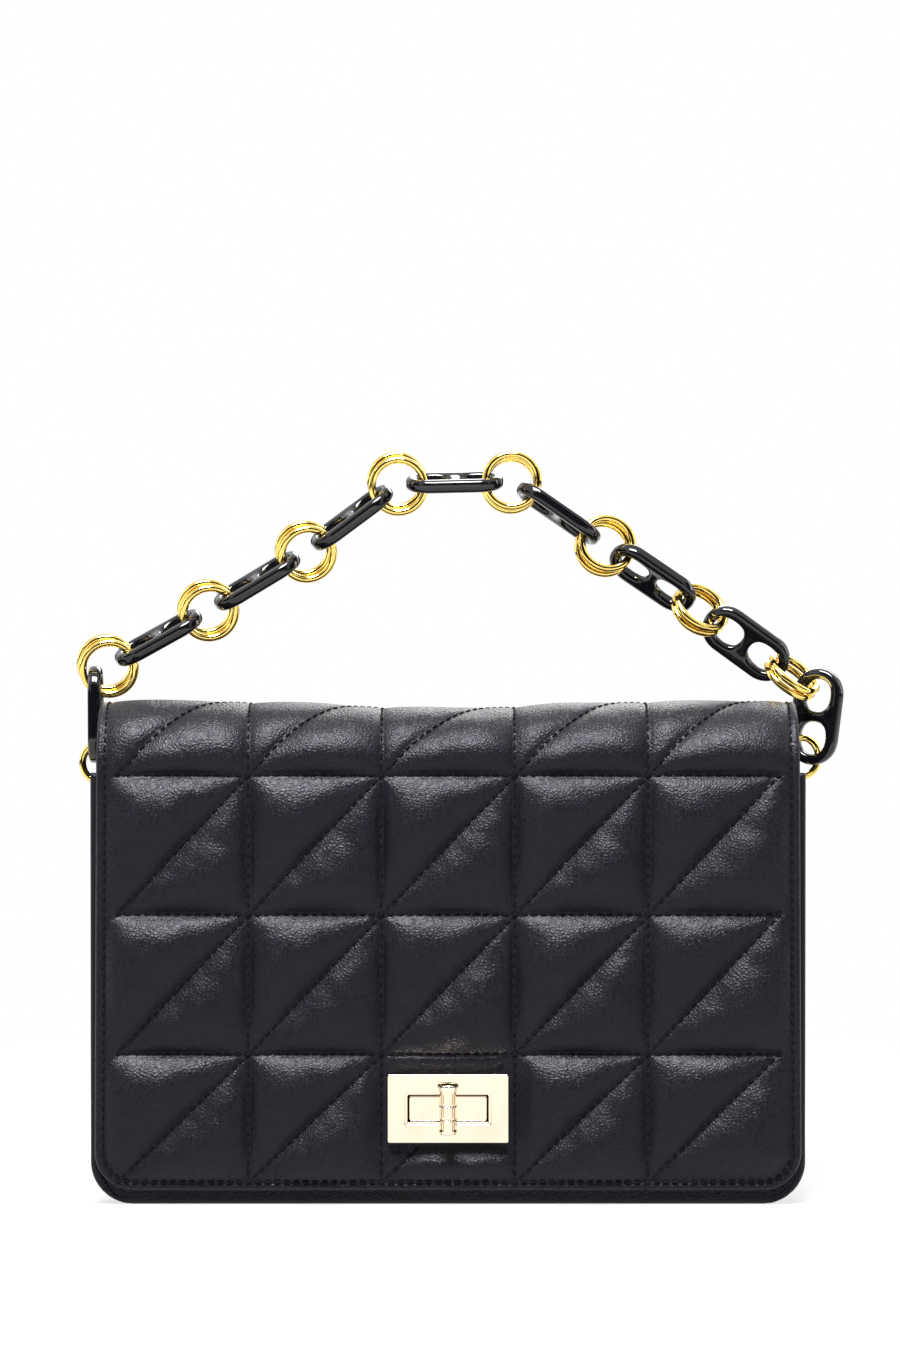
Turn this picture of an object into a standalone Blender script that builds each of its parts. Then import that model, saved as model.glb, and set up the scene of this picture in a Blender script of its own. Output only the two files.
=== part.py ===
"""Quilted handbag with a flap, a turn lock and a chain handle of black links and paired rings."""

import math

import bmesh
import bpy
from mathutils import Matrix, Vector

# Driving dimensions, in metres. X runs along the bag, -Y is its front and +Z is up.
bag_width = 0.2195
bag_depth = 0.064
panel_height = 0.1325
panel_thickness = 0.0026
panel_corner_radius = 0.013
touch_gap = 0.0003

# Side gussets are pleated inwards between the panels; the base strip joins them.
gusset_height = 0.130
gusset_inset = 0.0012
gusset_fold = 0.0115
gusset_flat_share = 0.35
gusset_thickness = 0.0016
base_thickness = 0.0018
base_strip_width = 0.190

# Lining pouch, its pocket and the board in the bottom.
lining_thickness = 0.0008
lining_height = 0.124
lining_width = 0.184
lining_front_room = 0.0030
lining_back_room = 0.0006
pocket_width = 0.110
pocket_height = 0.062
pocket_bottom = 0.048
pocket_thickness = 0.0008
board_thickness = 0.0014
board_width = 0.180
board_depth = 0.052

# Flap: front drop, rounded front edge, a sloping top and a rear drop sewn to the back panel.
flap_width = 0.2152
flap_bottom = 0.0046
flap_height = 0.1560
flap_front_radius = 0.020
flap_rear_radius = 0.016
flap_rear_height = 0.149
flap_rear_bottom = 0.100
flap_corner_radius = 0.012
flap_thickness = 0.0026
flap_lining_thickness = 0.0006
flap_clearance = 0.0014
crease_y = -0.0100
crease_gap = 0.0003

# Quilting: square cells cut by one diagonal each, with a stitched margin around them.
quilt_columns = 5
quilt_pitch_x = 0.0408
quilt_pitch_z = 0.04275
quilt_first_seam = 0.0465
quilt_margin = 0.0044
pad_rise = 0.0026
pad_shoulder = 0.0095
arc_steps = 4

# Turn lock: a frame on the flap, a block on the body and a knob on a turning stem.
lock_height = 0.0301
frame_width = 0.0370
frame_height = 0.0210
frame_thickness = 0.0022
frame_bevel = 0.0006
window_width = 0.0262
window_height = 0.0098
back_frame_width = 0.0340
back_frame_height = 0.0180
back_frame_thickness = 0.0008
block_width = 0.0238
block_height = 0.0078
block_recess = 0.0010
stem_radius = 0.0016
stem_clearance = 0.0004
knob_length = 0.0156
knob_width = 0.0062
knob_depth = 0.0052
knob_lift = 0.0005
knob_fullness_share = 0.7
knob_groove_pitch = 0.0043
# The two grooves' middle lies this far below the knob's.
knob_groove_drop = 0.0009
knob_groove_radius = 0.0005
washer_radius = 0.0050
washer_thickness = 0.0008
clinch_plate_width = 0.0200
clinch_plate_height = 0.0120
clinch_plate_thickness = 0.0007

# Chain: flat links with two oval eyes, joined by pairs of rings.
chain_y = 0.0040
link_length = 0.0304
link_width = 0.0160
link_thickness = 0.0042
link_bevel = 0.0012
eye_length = 0.0102
eye_width = 0.0086
eye_web = 0.0032
eye_squareness_share = 0.85
ring_radius = 0.0082
ring_wire = 0.00115
pair_gap = 0.0003
chain_pitch = 0.0357
side_ring_radius = 0.0060
side_ring_wire = 0.0011

# Leather keepers that hold the side rings on the gussets.
keeper_height = 0.1350
keeper_width = 0.0034
keeper_thickness = 0.0009
keeper_room = 0.0021
# Length of the keeper's back that is sewn down the gusset, below its arch.
keeper_tail = 0.0150
keeper_overrun = 3

# Facets.
ring_segments = 20
wire_segments = 8
rod_segments = 20
stem_segments = 16
knob_segments = 8
groove_segments = 24
groove_wire_segments = 6
eye_segments = 14
end_segments = 10
corner_segments = 6

# Places along the arch of the handle: ring pair 1, then the slope and roll of each link.
first_pair_place = Vector((-0.1063, 0.1647))
link_slopes = [math.radians(a) for a in (29.0, 31.0, 36.5, 1.3, -34.6, -34.1, -36.0)]
link_rolls = [math.radians(a) for a in (14, 14, 14, 12, -10, -36, -62)]
pair_rolls = [math.radians(a) for a in (11, 20, 20, 4, 0, -20, -49, -68)]
# How far apart the rings of a pair hang across the chain, in wires, with the front ring lower
# where it is positive.
pair_fan_shares = (1.2, 1.05, 1.05, 1.3, -1.05, -1.05, 0, 0)
# Each pair's play in its eyes, along and across the chain, in wires.
pair_play_shares = ((-0.26, 0), (0, 0), (0, 0), (0, 0), (0, -0.35), (0, 0), (0, 0), (0, 0))
left_ring_place = Vector((-0.1086, 0.1343))
right_ring_place = Vector((0.1109, 0.1360))
left_link_place = Vector((-0.1104, 0.1493))
right_link_place = Vector((0.1152, 0.1487))
right_link_y = 0.0032
left_link_lean = math.radians(90.2)
right_link_lean = math.radians(83.1)
right_link_yaw = math.radians(24.5)
left_ring_yaw = math.radians(14.0)
right_ring_yaw = math.radians(29.0)

front_face = -bag_depth / 2
flap_inner_y = front_face - flap_clearance
flap_lining_y = flap_inner_y - flap_lining_thickness
flap_quilt_y = flap_lining_y - touch_gap
flap_outer_y = flap_quilt_y - flap_thickness


def clear_scene():
    for item in list(bpy.data.objects):
        bpy.data.objects.remove(item, do_unlink=True)


def material(name, colour, roughness, metallic):
    found = bpy.data.materials.get(name)
    if found:
        return found
    made = bpy.data.materials.new(name)
    made.use_nodes = True
    shader = made.node_tree.nodes["Principled BSDF"]
    shader.inputs["Base Color"].default_value = (*colour, 1.0)
    shader.inputs["Roughness"].default_value = roughness
    shader.inputs["Metallic"].default_value = metallic
    return made


def leather():
    return material("black_leather", (0.020, 0.021, 0.025), 0.45, 0.0)


def lining_cloth():
    return material("lining_cloth", (0.035, 0.034, 0.036), 0.9, 0.0)


def resin():
    return material("black_resin", (0.010, 0.010, 0.012), 0.12, 0.0)


def gold():
    return material("gold_plate", (0.95, 0.68, 0.25), 0.18, 1.0)


def pale_gold():
    return material("pale_gold_plate", (0.96, 0.86, 0.68), 0.14, 1.0)


def board():
    return material("grey_board", (0.30, 0.28, 0.26), 0.9, 0.0)


def add_object(name, bm, finish, sharp_angle=35.0):
    bmesh.ops.recalc_face_normals(bm, faces=bm.faces)
    mesh = bpy.data.meshes.new(name)
    bm.to_mesh(mesh)
    bm.free()
    mesh.materials.append(finish)
    mesh.shade_smooth()
    mesh.set_sharp_from_angle(angle=math.radians(sharp_angle))
    made = bpy.data.objects.new(name, mesh)
    bpy.context.scene.collection.objects.link(made)
    return made


def bevel(item, width, segments=1):
    """Rounds the sharp edges of an object."""
    modifier = item.modifiers.new("Rounded edges", "BEVEL")
    modifier.width = width
    modifier.segments = segments
    modifier.limit_method = "ANGLE"
    modifier.angle_limit = math.radians(50.0)


def cut(item, cutter):
    """Takes the cutter's volume out of an object and leaves the cutter as a guide."""
    modifier = item.modifiers.new("Cut", "BOOLEAN")
    modifier.operation = "DIFFERENCE"
    modifier.object = cutter
    cutter.hide_render = True
    cutter.display_type = "WIRE"


def keep_inside(item, guide):
    """Keeps only the part of an object that lies inside the guide."""
    modifier = item.modifiers.new("Outline", "BOOLEAN")
    modifier.operation = "INTERSECT"
    modifier.object = guide
    guide.hide_render = True
    guide.display_type = "WIRE"


def slab(bm, points, depth_vector):
    """Closes an outline into a face and extrudes it along a vector."""
    face = bm.faces.new([bm.verts.new(p) for p in points])
    grown = bmesh.ops.extrude_face_region(bm, geom=[face])
    moved = [v for v in grown["geom"] if isinstance(v, bmesh.types.BMVert)]
    bmesh.ops.translate(bm, verts=moved, vec=depth_vector)


def box(name, low, high, finish):
    bm = bmesh.new()
    corners = [(low[0], low[1], low[2]), (high[0], low[1], low[2]),
               (high[0], low[1], high[2]), (low[0], low[1], high[2])]
    slab(bm, corners, Vector((0, high[1] - low[1], 0)))
    return add_object(name, bm, finish)


def rounded_outline(width, bottom, top, radius):
    """A rectangle in X and Z whose two lower corners are round."""
    points = [(-width / 2, top), (width / 2, top)]
    for side, start in ((1, 0.0), (-1, -0.5)):
        for step in range(corner_segments + 1):
            turn = (start - 0.5 * step / corner_segments) * math.pi
            points.append((side * (width / 2 - radius) + radius * math.cos(turn),
                           bottom + radius + radius * math.sin(turn)))
    return points


def upright_slab(name, outline, y_front, thickness, finish):
    bm = bmesh.new()
    slab(bm, [(x, y_front, z) for x, z in outline], Vector((0, thickness, 0)))
    return add_object(name, bm, finish)


def rod(name, radius, centre, y_from, y_to, finish, segments=rod_segments):
    """A round bar along Y."""
    bm = bmesh.new()
    ring = [(centre[0] + radius * math.cos(2 * math.pi * i / segments), y_from,
             centre[1] + radius * math.sin(2 * math.pi * i / segments)) for i in range(segments)]
    slab(bm, ring, Vector((0, y_to - y_from, 0)))
    return add_object(name, bm, finish)


def make_panels():
    outline = rounded_outline(bag_width, 0, panel_height, panel_corner_radius)
    front = upright_slab("front_panel", outline, front_face, panel_thickness, leather())
    bore = rod("guide_front_bore", stem_radius + 2 * stem_clearance, (0, lock_height),
               front_face - panel_thickness, front_face + 2 * panel_thickness, leather())
    cut(front, bore)
    back_y = bag_depth / 2 - panel_thickness
    upright_slab("back_panel", outline, back_y, panel_thickness, leather())


def fold_in(y, reach):
    """How far the pleat of a gusset stands in from its edge, at a place across the bag."""
    slope_share = (1 - abs(y) / reach) / (1 - gusset_flat_share)
    return gusset_fold * min(1.0, slope_share)


def make_gusset(name, side):
    """A strip between the panels, pleated inwards, that runs down and round the lower corner."""
    reach = bag_depth / 2 - panel_thickness - touch_gap
    across = [-reach, -reach * gusset_flat_share, reach * gusset_flat_share, reach]
    outer = bag_width / 2 - gusset_inset
    low = gusset_inset
    radius = panel_corner_radius
    path = [((outer, gusset_height), (1, 0), 1.0), ((outer, (gusset_height + radius) / 2), (1, 0), 1.0)]
    for step in range(corner_segments + 1):
        turn = 0.5 * math.pi * step / corner_segments
        share = 1 - step / corner_segments
        direction = (math.cos(turn), -math.sin(turn))
        place = (outer - radius + radius * direction[0], low + radius + radius * direction[1])
        path.append((place, direction, share))
    path.append(((base_strip_width / 2 + touch_gap, low), (0, -1), 0.0))
    bm = bmesh.new()
    sheets = []
    for depth in (0, gusset_thickness):
        rows = []
        for place, direction, share in path:
            row = []
            for y in across:
                stand = fold_in(y, reach) * share + depth
                row.append(bm.verts.new((side * (place[0] - direction[0] * stand), y,
                                         place[1] - direction[1] * stand)))
            rows.append(row)
        sheets.append(rows)
    close_sheets(bm, sheets)
    add_object(name, bm, leather())


def close_sheets(bm, sheets):
    """Joins an outer and an inner grid of points into one closed body."""
    outer, inner = sheets
    rows, columns = len(outer), len(outer[0])
    skin = []
    for i in range(rows - 1):
        for j in range(columns - 1):
            quad = [(i, j), (i, j + 1), (i + 1, j + 1), (i + 1, j)]
            skin.append(bm.faces.new([outer[a][b] for a, b in quad]))
            bm.faces.new([inner[a][b] for a, b in reversed(quad)])
    rim = [(0, j) for j in range(columns)] + [(i, columns - 1) for i in range(1, rows)]
    rim += [(rows - 1, j) for j in range(columns - 2, -1, -1)] + [(i, 0) for i in range(rows - 2, 0, -1)]
    for a, b in zip(rim, rim[1:] + rim[:1]):
        bm.faces.new([outer[a[0]][a[1]], inner[a[0]][a[1]], inner[b[0]][b[1]], outer[b[0]][b[1]]])
    return skin


def make_base():
    reach = bag_depth / 2 - panel_thickness - touch_gap
    half = base_strip_width / 2 - touch_gap
    box("base_panel", (-half, -reach, 0), (half, reach, base_thickness), leather())
    lift = base_thickness + touch_gap
    box("base_board", (-board_width / 2, -board_depth / 2, lift),
        (board_width / 2, board_depth / 2, lift + board_thickness), board())


def make_lining():
    """An open pouch inside the panels, with a slip pocket on its rear wall."""
    bottom = base_thickness + board_thickness + 2 * touch_gap
    front = front_face + panel_thickness + lining_front_room
    back = bag_depth / 2 - panel_thickness - lining_back_room
    pouch = upright_slab("lining", rounded_outline(lining_width, bottom, lining_height, panel_corner_radius),
                         front, back - front, lining_cloth())
    inner = rounded_outline(lining_width - 2 * lining_thickness, bottom + lining_thickness,
                            lining_height + lining_thickness, panel_corner_radius - lining_thickness)
    hollow = upright_slab("guide_lining_hollow", inner, front + lining_thickness,
                          back - front - 2 * lining_thickness, lining_cloth())
    cut(pouch, hollow)
    pocket_back = back - lining_thickness - touch_gap
    box("slip_pocket", (-pocket_width / 2, pocket_back - pocket_thickness, pocket_bottom),
        (pocket_width / 2, pocket_back, pocket_bottom + pocket_height), lining_cloth())


def front_profile(way, depth):
    """A point on the flap's front drop or top, by its length along the face from the flap's
    lower edge, at a depth under the quilted face. Returns Y and Z."""
    drop = flap_height - flap_front_radius - flap_bottom
    bend = flap_front_radius * math.pi / 2
    centre_y = flap_outer_y + flap_front_radius
    centre_z = flap_height - flap_front_radius
    if way <= drop:
        return flap_outer_y + depth, flap_bottom + way
    if way <= drop + bend:
        turn = (way - drop) / flap_front_radius
        radius = flap_front_radius - depth
        return centre_y - radius * math.cos(turn), centre_z + radius * math.sin(turn)
    return centre_y + way - drop - bend, flap_height - depth


def front_ways():
    """Lengths along the flap's face where its seams and bends lie."""
    drop = flap_height - flap_front_radius - flap_bottom
    bend = flap_front_radius * math.pi / 2
    crease = drop + bend + crease_y - (flap_outer_y + flap_front_radius)
    ways = [0, quilt_margin]
    seam = quilt_first_seam - flap_bottom
    while seam < drop:
        ways.append(seam)
        seam += quilt_pitch_z
    ways += [drop + bend * step / arc_steps for step in range(arc_steps + 1)]
    ways += [crease - quilt_margin, crease]
    return ways


def flap_columns():
    half = quilt_columns * quilt_pitch_x / 2
    seams = [quilt_pitch_x * i - half for i in range(quilt_columns + 1)]
    return [-flap_width / 2] + seams + [flap_width / 2]


def pad_cells(bm, grid, seam_rows):
    """Splits each square cell by its diagonal and raises both halves as pads."""
    flat_column = quilt_columns // 2 + 1
    pads = []
    for row in range(1, seam_rows):
        for column in range(1, quilt_columns + 1):
            if row == 1 and column == flat_column:
                continue
            low, high = grid[row][column], grid[row + 1][column + 1]
            face = next(f for f in low.link_faces if high in f.verts)
            bmesh.utils.face_split(face, low, high)
            pads += [f for f in low.link_faces if high in f.verts]
    bmesh.ops.inset_individual(bm, faces=pads, thickness=pad_shoulder, depth=pad_rise)


def curved_pads(bm, grid, spans):
    """Raises one pad for each column in each span of rows, over the rounded edges."""
    patches = []
    for first_row, last_row in spans:
        for column in range(1, quilt_columns + 1):
            corners = [(grid[row][column], grid[row + 1][column + 1]) for row in range(first_row, last_row)]
            patches.append([next(f for f in low.link_faces if high in f.verts) for low, high in corners])
    for patch in patches:
        bmesh.ops.inset_region(bm, faces=patch, thickness=pad_shoulder / 2, depth=pad_rise,
                               use_even_offset=True)


def flap_outline_guide(name, y_front, y_back):
    outline = rounded_outline(flap_width, flap_bottom, 2 * flap_height, flap_corner_radius)
    return upright_slab(name, outline, y_front, y_back - y_front, leather())


def window_guide(name):
    half_w, half_h = window_width / 2, window_height / 2
    return box(name, (-half_w, 2 * flap_outer_y, lock_height - half_h),
               (half_w, front_face / 2, lock_height + half_h), leather())


def make_front_flap():
    ways = front_ways()
    columns = flap_columns()
    window = window_guide("guide_window")
    guide = flap_outline_guide("guide_flap_outline", 2 * flap_outer_y, bag_depth)
    bm = bmesh.new()
    sheets = [[[bm.verts.new((x, *front_profile(way, depth))) for x in columns] for way in ways]
              for depth in (0, flap_thickness)]
    close_sheets(bm, sheets)
    bmesh.ops.recalc_face_normals(bm, faces=bm.faces)
    seam_rows = sum(1 for way in ways[:-2] if way < flap_height - flap_front_radius - flap_bottom) - 1
    pad_cells(bm, sheets[0], seam_rows)
    curved_pads(bm, sheets[0], [(seam_rows, len(ways) - 2)])
    flap = add_object("flap_front", bm, leather())
    keep_inside(flap, guide)
    cut(flap, window)
    bm = bmesh.new()
    offset = flap_thickness + touch_gap
    edges = [-flap_width / 2 + quilt_margin / 2, flap_width / 2 - quilt_margin / 2]
    sheets = [[[bm.verts.new((x, *front_profile(way, depth))) for x in edges] for way in ways]
              for depth in (offset, offset + flap_lining_thickness)]
    close_sheets(bm, sheets)
    skin = add_object("flap_lining", bm, lining_cloth())
    keep_inside(skin, guide)
    cut(skin, window)


def rear_profile(way, depth):
    """A point on the fixed rear of the flap, by its length along the face from the crease."""
    rear_y = bag_depth / 2 + touch_gap + flap_thickness
    centre_y = rear_y - flap_rear_radius
    centre_z = flap_rear_height - flap_rear_radius
    slope = math.atan2(flap_height - flap_rear_height, centre_y - crease_y)
    shoulder_y = centre_y + flap_rear_radius * math.sin(slope)
    shoulder_z = centre_z + flap_rear_radius * math.cos(slope)
    run = math.hypot(shoulder_y - crease_y, flap_height - shoulder_z)
    bend = flap_rear_radius * (math.pi / 2 - slope)
    if way <= run:
        share = way / run
        lean = slope * min(1.0, share * 4)
        return (crease_y + (shoulder_y - crease_y) * share - depth * math.sin(lean),
                flap_height + (shoulder_z - flap_height) * share - depth * math.cos(lean))
    if way <= run + bend:
        turn = slope + (way - run) / flap_rear_radius
        radius = flap_rear_radius - depth
        return centre_y + radius * math.sin(turn), centre_z + radius * math.cos(turn)
    return rear_y - depth, centre_z - (way - run - bend)


def make_rear_flap():
    """The part of the flap behind the crease, which stays on the bag and is sewn to its back."""
    rear_y = bag_depth / 2 + touch_gap + flap_thickness
    slope = math.atan2(flap_height - flap_rear_height, rear_y - flap_rear_radius - crease_y)
    run = math.hypot(rear_y - flap_rear_radius + flap_rear_radius * math.sin(slope) - crease_y,
                     flap_height - flap_rear_height + flap_rear_radius * (1 - math.cos(slope)))
    bend = flap_rear_radius * (math.pi / 2 - slope)
    drop = flap_rear_height - flap_rear_radius - flap_rear_bottom
    ways = [crease_gap, quilt_margin, run / 2, run]
    ways += [run + bend * step / arc_steps for step in range(1, arc_steps + 1)]
    ways += [run + bend + drop - quilt_margin, run + bend + drop]
    seam_row = 3 + arc_steps // 2
    columns = flap_columns()
    bm = bmesh.new()
    sheets = [[[bm.verts.new((x, *rear_profile(way, depth))) for x in columns] for way in ways]
              for depth in (0, flap_thickness)]
    close_sheets(bm, sheets)
    bmesh.ops.recalc_face_normals(bm, faces=bm.faces)
    curved_pads(bm, sheets[0], [(1, seam_row), (seam_row, len(ways) - 2)])
    add_object("flap_rear", bm, leather())


def plate_with_window(name, width, height, y_front, thickness, window, finish):
    plate = box(name, (-width / 2, y_front, lock_height - height / 2),
                (width / 2, y_front + thickness, lock_height + height / 2), finish)
    cut(plate, window)
    return plate


def make_lock():
    window = bpy.data.objects["guide_window"]
    frame_front = flap_outer_y - touch_gap - frame_thickness
    frame = plate_with_window("lock_frame", frame_width, frame_height, frame_front,
                              frame_thickness, window, pale_gold())
    bevel(frame, frame_bevel)
    plate_with_window("lock_frame_back", back_frame_width, back_frame_height,
                      flap_inner_y + touch_gap, back_frame_thickness, window, pale_gold())
    block_front = frame_front + block_recess
    block_back = front_face - touch_gap
    block = box("lock_block", (-block_width / 2, block_front, lock_height - block_height / 2),
                (block_width / 2, block_back, lock_height + block_height / 2), pale_gold())
    cut(block, rod("guide_block_bore", stem_radius + stem_clearance, (0, lock_height),
                   block_front - frame_thickness, block_back + frame_thickness, pale_gold()))
    clinch_front = front_face + panel_thickness + touch_gap
    clinch = box("lock_clinch_plate",
                 (-clinch_plate_width / 2, clinch_front, lock_height - clinch_plate_height / 2),
                 (clinch_plate_width / 2, clinch_front + clinch_plate_thickness,
                  lock_height + clinch_plate_height / 2), pale_gold())
    cut(clinch, rod("guide_clinch_bore", stem_radius + stem_clearance, (0, lock_height),
                    clinch_front - panel_thickness, clinch_front + panel_thickness, pale_gold()))
    washer_front = clinch_front + clinch_plate_thickness + touch_gap
    make_knob(frame_front - knob_lift, washer_front + washer_thickness)
    washer = rod("lock_washer", washer_radius, (0, lock_height), washer_front,
                 washer_front + washer_thickness, pale_gold())
    cut(washer, rod("guide_washer_bore", stem_radius + touch_gap, (0, lock_height),
                    washer_front - washer_thickness, washer_front + 2 * washer_thickness, pale_gold()))


def make_knob(back_face, stem_end):
    """A ribbed bar across the frame, one body with its turning stem. Its origin is on the stem."""
    bm = bmesh.new()
    outline = []
    for step in range(knob_segments + 1):
        turn = math.pi * step / knob_segments
        outline.append((-knob_width / 2 * math.cos(turn), -knob_depth * math.sin(turn) ** knob_fullness_share))
    face = [(x, y, -knob_length / 2) for x, y in outline]
    slab(bm, face, Vector((0, 0, knob_length)))
    knob = add_object("lock_knob", bm, pale_gold())
    knob.location = (0, back_face, lock_height)
    stem = rod("guide_stem", stem_radius, (0, lock_height), back_face - stem_radius, stem_end, pale_gold(),
               stem_segments)
    union = knob.modifiers.new("Stem", "BOOLEAN")
    union.operation = "UNION"
    union.object = stem
    stem.hide_render = True
    stem.display_type = "WIRE"
    for word, side in (("low", -1), ("high", 1)):
        ridge = ring_mesh(knob_depth + knob_groove_radius / 2, knob_groove_radius, groove_segments,
                          groove_wire_segments)
        guide = add_object("guide_groove_" + word, ridge, pale_gold())
        guide.location = (0, back_face, lock_height - knob_groove_drop + side * knob_groove_pitch / 2)
        guide.scale = (knob_width / 2 / knob_depth, 1, 1)
        cut(knob, guide)


def ring_mesh(radius, wire, segments=ring_segments, sides=wire_segments):
    """A closed ring of round wire around Z."""
    bm = bmesh.new()
    loops = []
    for i in range(segments):
        turn = 2 * math.pi * i / segments
        loop = []
        for j in range(sides):
            roll = 2 * math.pi * (j + 0.5) / sides
            reach = radius + wire * math.cos(roll)
            loop.append(bm.verts.new((reach * math.cos(turn), reach * math.sin(turn), wire * math.sin(roll))))
        loops.append(loop)
    for i in range(segments):
        for j in range(sides):
            bm.faces.new((loops[i][j], loops[(i + 1) % segments][j],
                          loops[(i + 1) % segments][(j + 1) % sides], loops[i][(j + 1) % sides]))
    return bm


def squared(value):
    """Pushes a circle's cosine or sine outwards, so that an oval has fuller corners."""
    return math.copysign(abs(value) ** eye_squareness_share, value)


def link_mesh():
    """A flat link along X, rounded at its ends, with two oval eyes and rounded edges."""
    bm = bmesh.new()
    radius = link_width / 2
    outline = []
    for side, start in ((1, -0.5), (-1, 0.5)):
        for step in range(end_segments + 1):
            turn = math.pi * (start + step / end_segments)
            outline.append((side * (link_length / 2 - radius) + radius * math.cos(turn),
                            radius * math.sin(turn)))
    loops = [outline]
    for side in (-1, 1):
        centre = side * (eye_web + eye_length) / 2
        loops.append([(centre + eye_length / 2 * squared(math.cos(2 * math.pi * i / eye_segments)),
                       eye_width / 2 * squared(math.sin(2 * math.pi * i / eye_segments)))
                      for i in range(eye_segments)])
    edges = []
    for loop in loops:
        verts = [bm.verts.new((x, y, -link_thickness / 2)) for x, y in loop]
        edges += [bm.edges.new(pair) for pair in zip(verts, verts[1:] + verts[:1])]
    bmesh.ops.triangle_fill(bm, use_beauty=True, use_dissolve=False, edges=edges)
    grown = bmesh.ops.extrude_face_region(bm, geom=list(bm.faces))
    moved = [v for v in grown["geom"] if isinstance(v, bmesh.types.BMVert)]
    bmesh.ops.translate(bm, verts=moved, vec=Vector((0, 0, link_thickness)))
    return bm


def link_frame(place, slope, roll, y=chain_y):
    """World placement of a link: its length on local X, its width on Y and its face on Z."""
    turn = Matrix.Rotation(-slope, 4, "Y") @ Matrix.Rotation(roll, 4, "X")
    return Matrix.Translation((place.x, y, place.y)) @ turn


def chain_places():
    places = [first_pair_place]
    for slope in link_slopes:
        places.append(places[-1] + chain_pitch * Vector((math.cos(slope), math.sin(slope))))
    return places


def put_link(number, mesh, placement):
    made = bpy.data.objects.new(f"link_{number}", mesh)
    bpy.context.scene.collection.objects.link(made)
    made.matrix_world = placement
    bevel(made, link_bevel, 2)


def put_ring(name, mesh, placement):
    made = bpy.data.objects.new(name, mesh)
    bpy.context.scene.collection.objects.link(made)
    made.matrix_world = placement


def make_chain():
    places = chain_places()
    pattern = add_object("link_2", link_mesh(), resin())
    link = pattern.data
    bpy.data.objects.remove(pattern)
    for index, slope in enumerate(link_slopes):
        middle = (places[index] + places[index + 1]) / 2
        put_link(index + 2, link, link_frame(middle, slope, link_rolls[index]))
    put_link(1, link, link_frame(left_link_place, left_link_lean, 0))
    right = link_frame(right_link_place, right_link_lean, -math.pi / 2 - right_link_yaw, right_link_y)
    put_link(len(link_slopes) + 2, link, right)
    pattern = add_object("ring_1_front", ring_mesh(ring_radius, ring_wire), gold(), 180.0)
    ring = pattern.data
    bpy.data.objects.remove(pattern)
    slopes = [link_slopes[0]] + link_slopes + [link_slopes[-1]]
    for index, place in enumerate(places):
        slope = (slopes[index] + slopes[index + 1]) / 2
        lay = link_frame(place, slope, pair_rolls[index]) @ Matrix.Rotation(math.pi / 2, 4, "X")
        along, across = (share * ring_wire for share in pair_play_shares[index])
        for word, side in (("front", 1), ("rear", -1)):
            fan = -side * pair_fan_shares[index] * ring_wire / 2
            offset = Matrix.Translation((along, across + fan, side * (ring_wire + pair_gap / 2)))
            put_ring(f"ring_{index + 1}_{word}", ring, lay @ offset)


def side_ring_places():
    """Each side ring's name, side, centre in X and Z, and its swing out of the bag's width."""
    return [("left", -1, left_ring_place, left_ring_yaw), ("right", 1, right_ring_place, right_ring_yaw)]


def make_side_rings():
    for word, side, place, yaw in side_ring_places():
        made = add_object("side_ring_" + word, ring_mesh(side_ring_radius, side_ring_wire), gold(), 180.0)
        centre = Vector((place.x, side_ring_radius * math.sin(yaw), place.y))
        made.matrix_world = (Matrix.Translation(centre) @ Matrix.Rotation(side * yaw, 4, "Z")
                             @ Matrix.Rotation(math.pi / 2, 4, "X"))


def make_keepers():
    """Arched straps on the gussets, each around the inner side of its ring, with a sewn tail."""
    gusset_face = bag_width / 2 - gusset_inset - gusset_fold
    low = keeper_height - keeper_width / 2
    for word, side, place, yaw in side_ring_places():
        eye_x = abs(place.x) - side_ring_radius * math.cos(yaw)
        foot_x = gusset_face + touch_gap
        room = side_ring_wire + keeper_room
        shapes = []
        for reach, foot in ((room + keeper_thickness, foot_x), (room, foot_x + keeper_thickness)):
            points = [(foot, -reach)]
            for step in range(2 * corner_segments + 1):
                turn = math.pi * (step / (2 * corner_segments) - 0.5)
                points.append((eye_x + reach * math.cos(turn), reach * math.sin(turn)))
            shapes.append([(side * x, y) for x, y in points + [(foot, reach)]])
        bm = bmesh.new()
        tail_low = low - keeper_tail
        slab(bm, [(x, y, tail_low) for x, y in shapes[0]], Vector((0, 0, keeper_width + keeper_tail)))
        strap = add_object("ring_keeper_" + word, bm, leather())
        bm = bmesh.new()
        overrun_low = tail_low - keeper_width
        slab(bm, [(x, y, overrun_low) for x, y in shapes[1]],
             Vector((0, 0, keeper_tail + keeper_width * keeper_overrun)))
        cut(strap, add_object("guide_keeper_" + word, bm, leather()))
        near_x = side * (foot_x + keeper_thickness)
        far_x = side * bag_width
        below = box("guide_tail_" + word, (min(near_x, far_x), -bag_depth, overrun_low),
                    (max(near_x, far_x), bag_depth, low), leather())
        cut(strap, below)


clear_scene()
make_panels()
make_gusset("gusset_left", -1)
make_gusset("gusset_right", 1)
make_base()
make_lining()
make_front_flap()
make_rear_flap()
make_lock()
make_chain()
make_side_rings()
make_keepers()
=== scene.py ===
# %% [markdown]
# A small quilted handbag: a padded leather flap over a thin leather body, a turn lock, and a
# handle of black links and gold rings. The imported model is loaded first, and the looks are built
# around it, in the same metres and at the same places.

# %% Load the frame
import math
import bmesh
import bpy
import numpy as np
from mathutils import Matrix, Vector, noise


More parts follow.
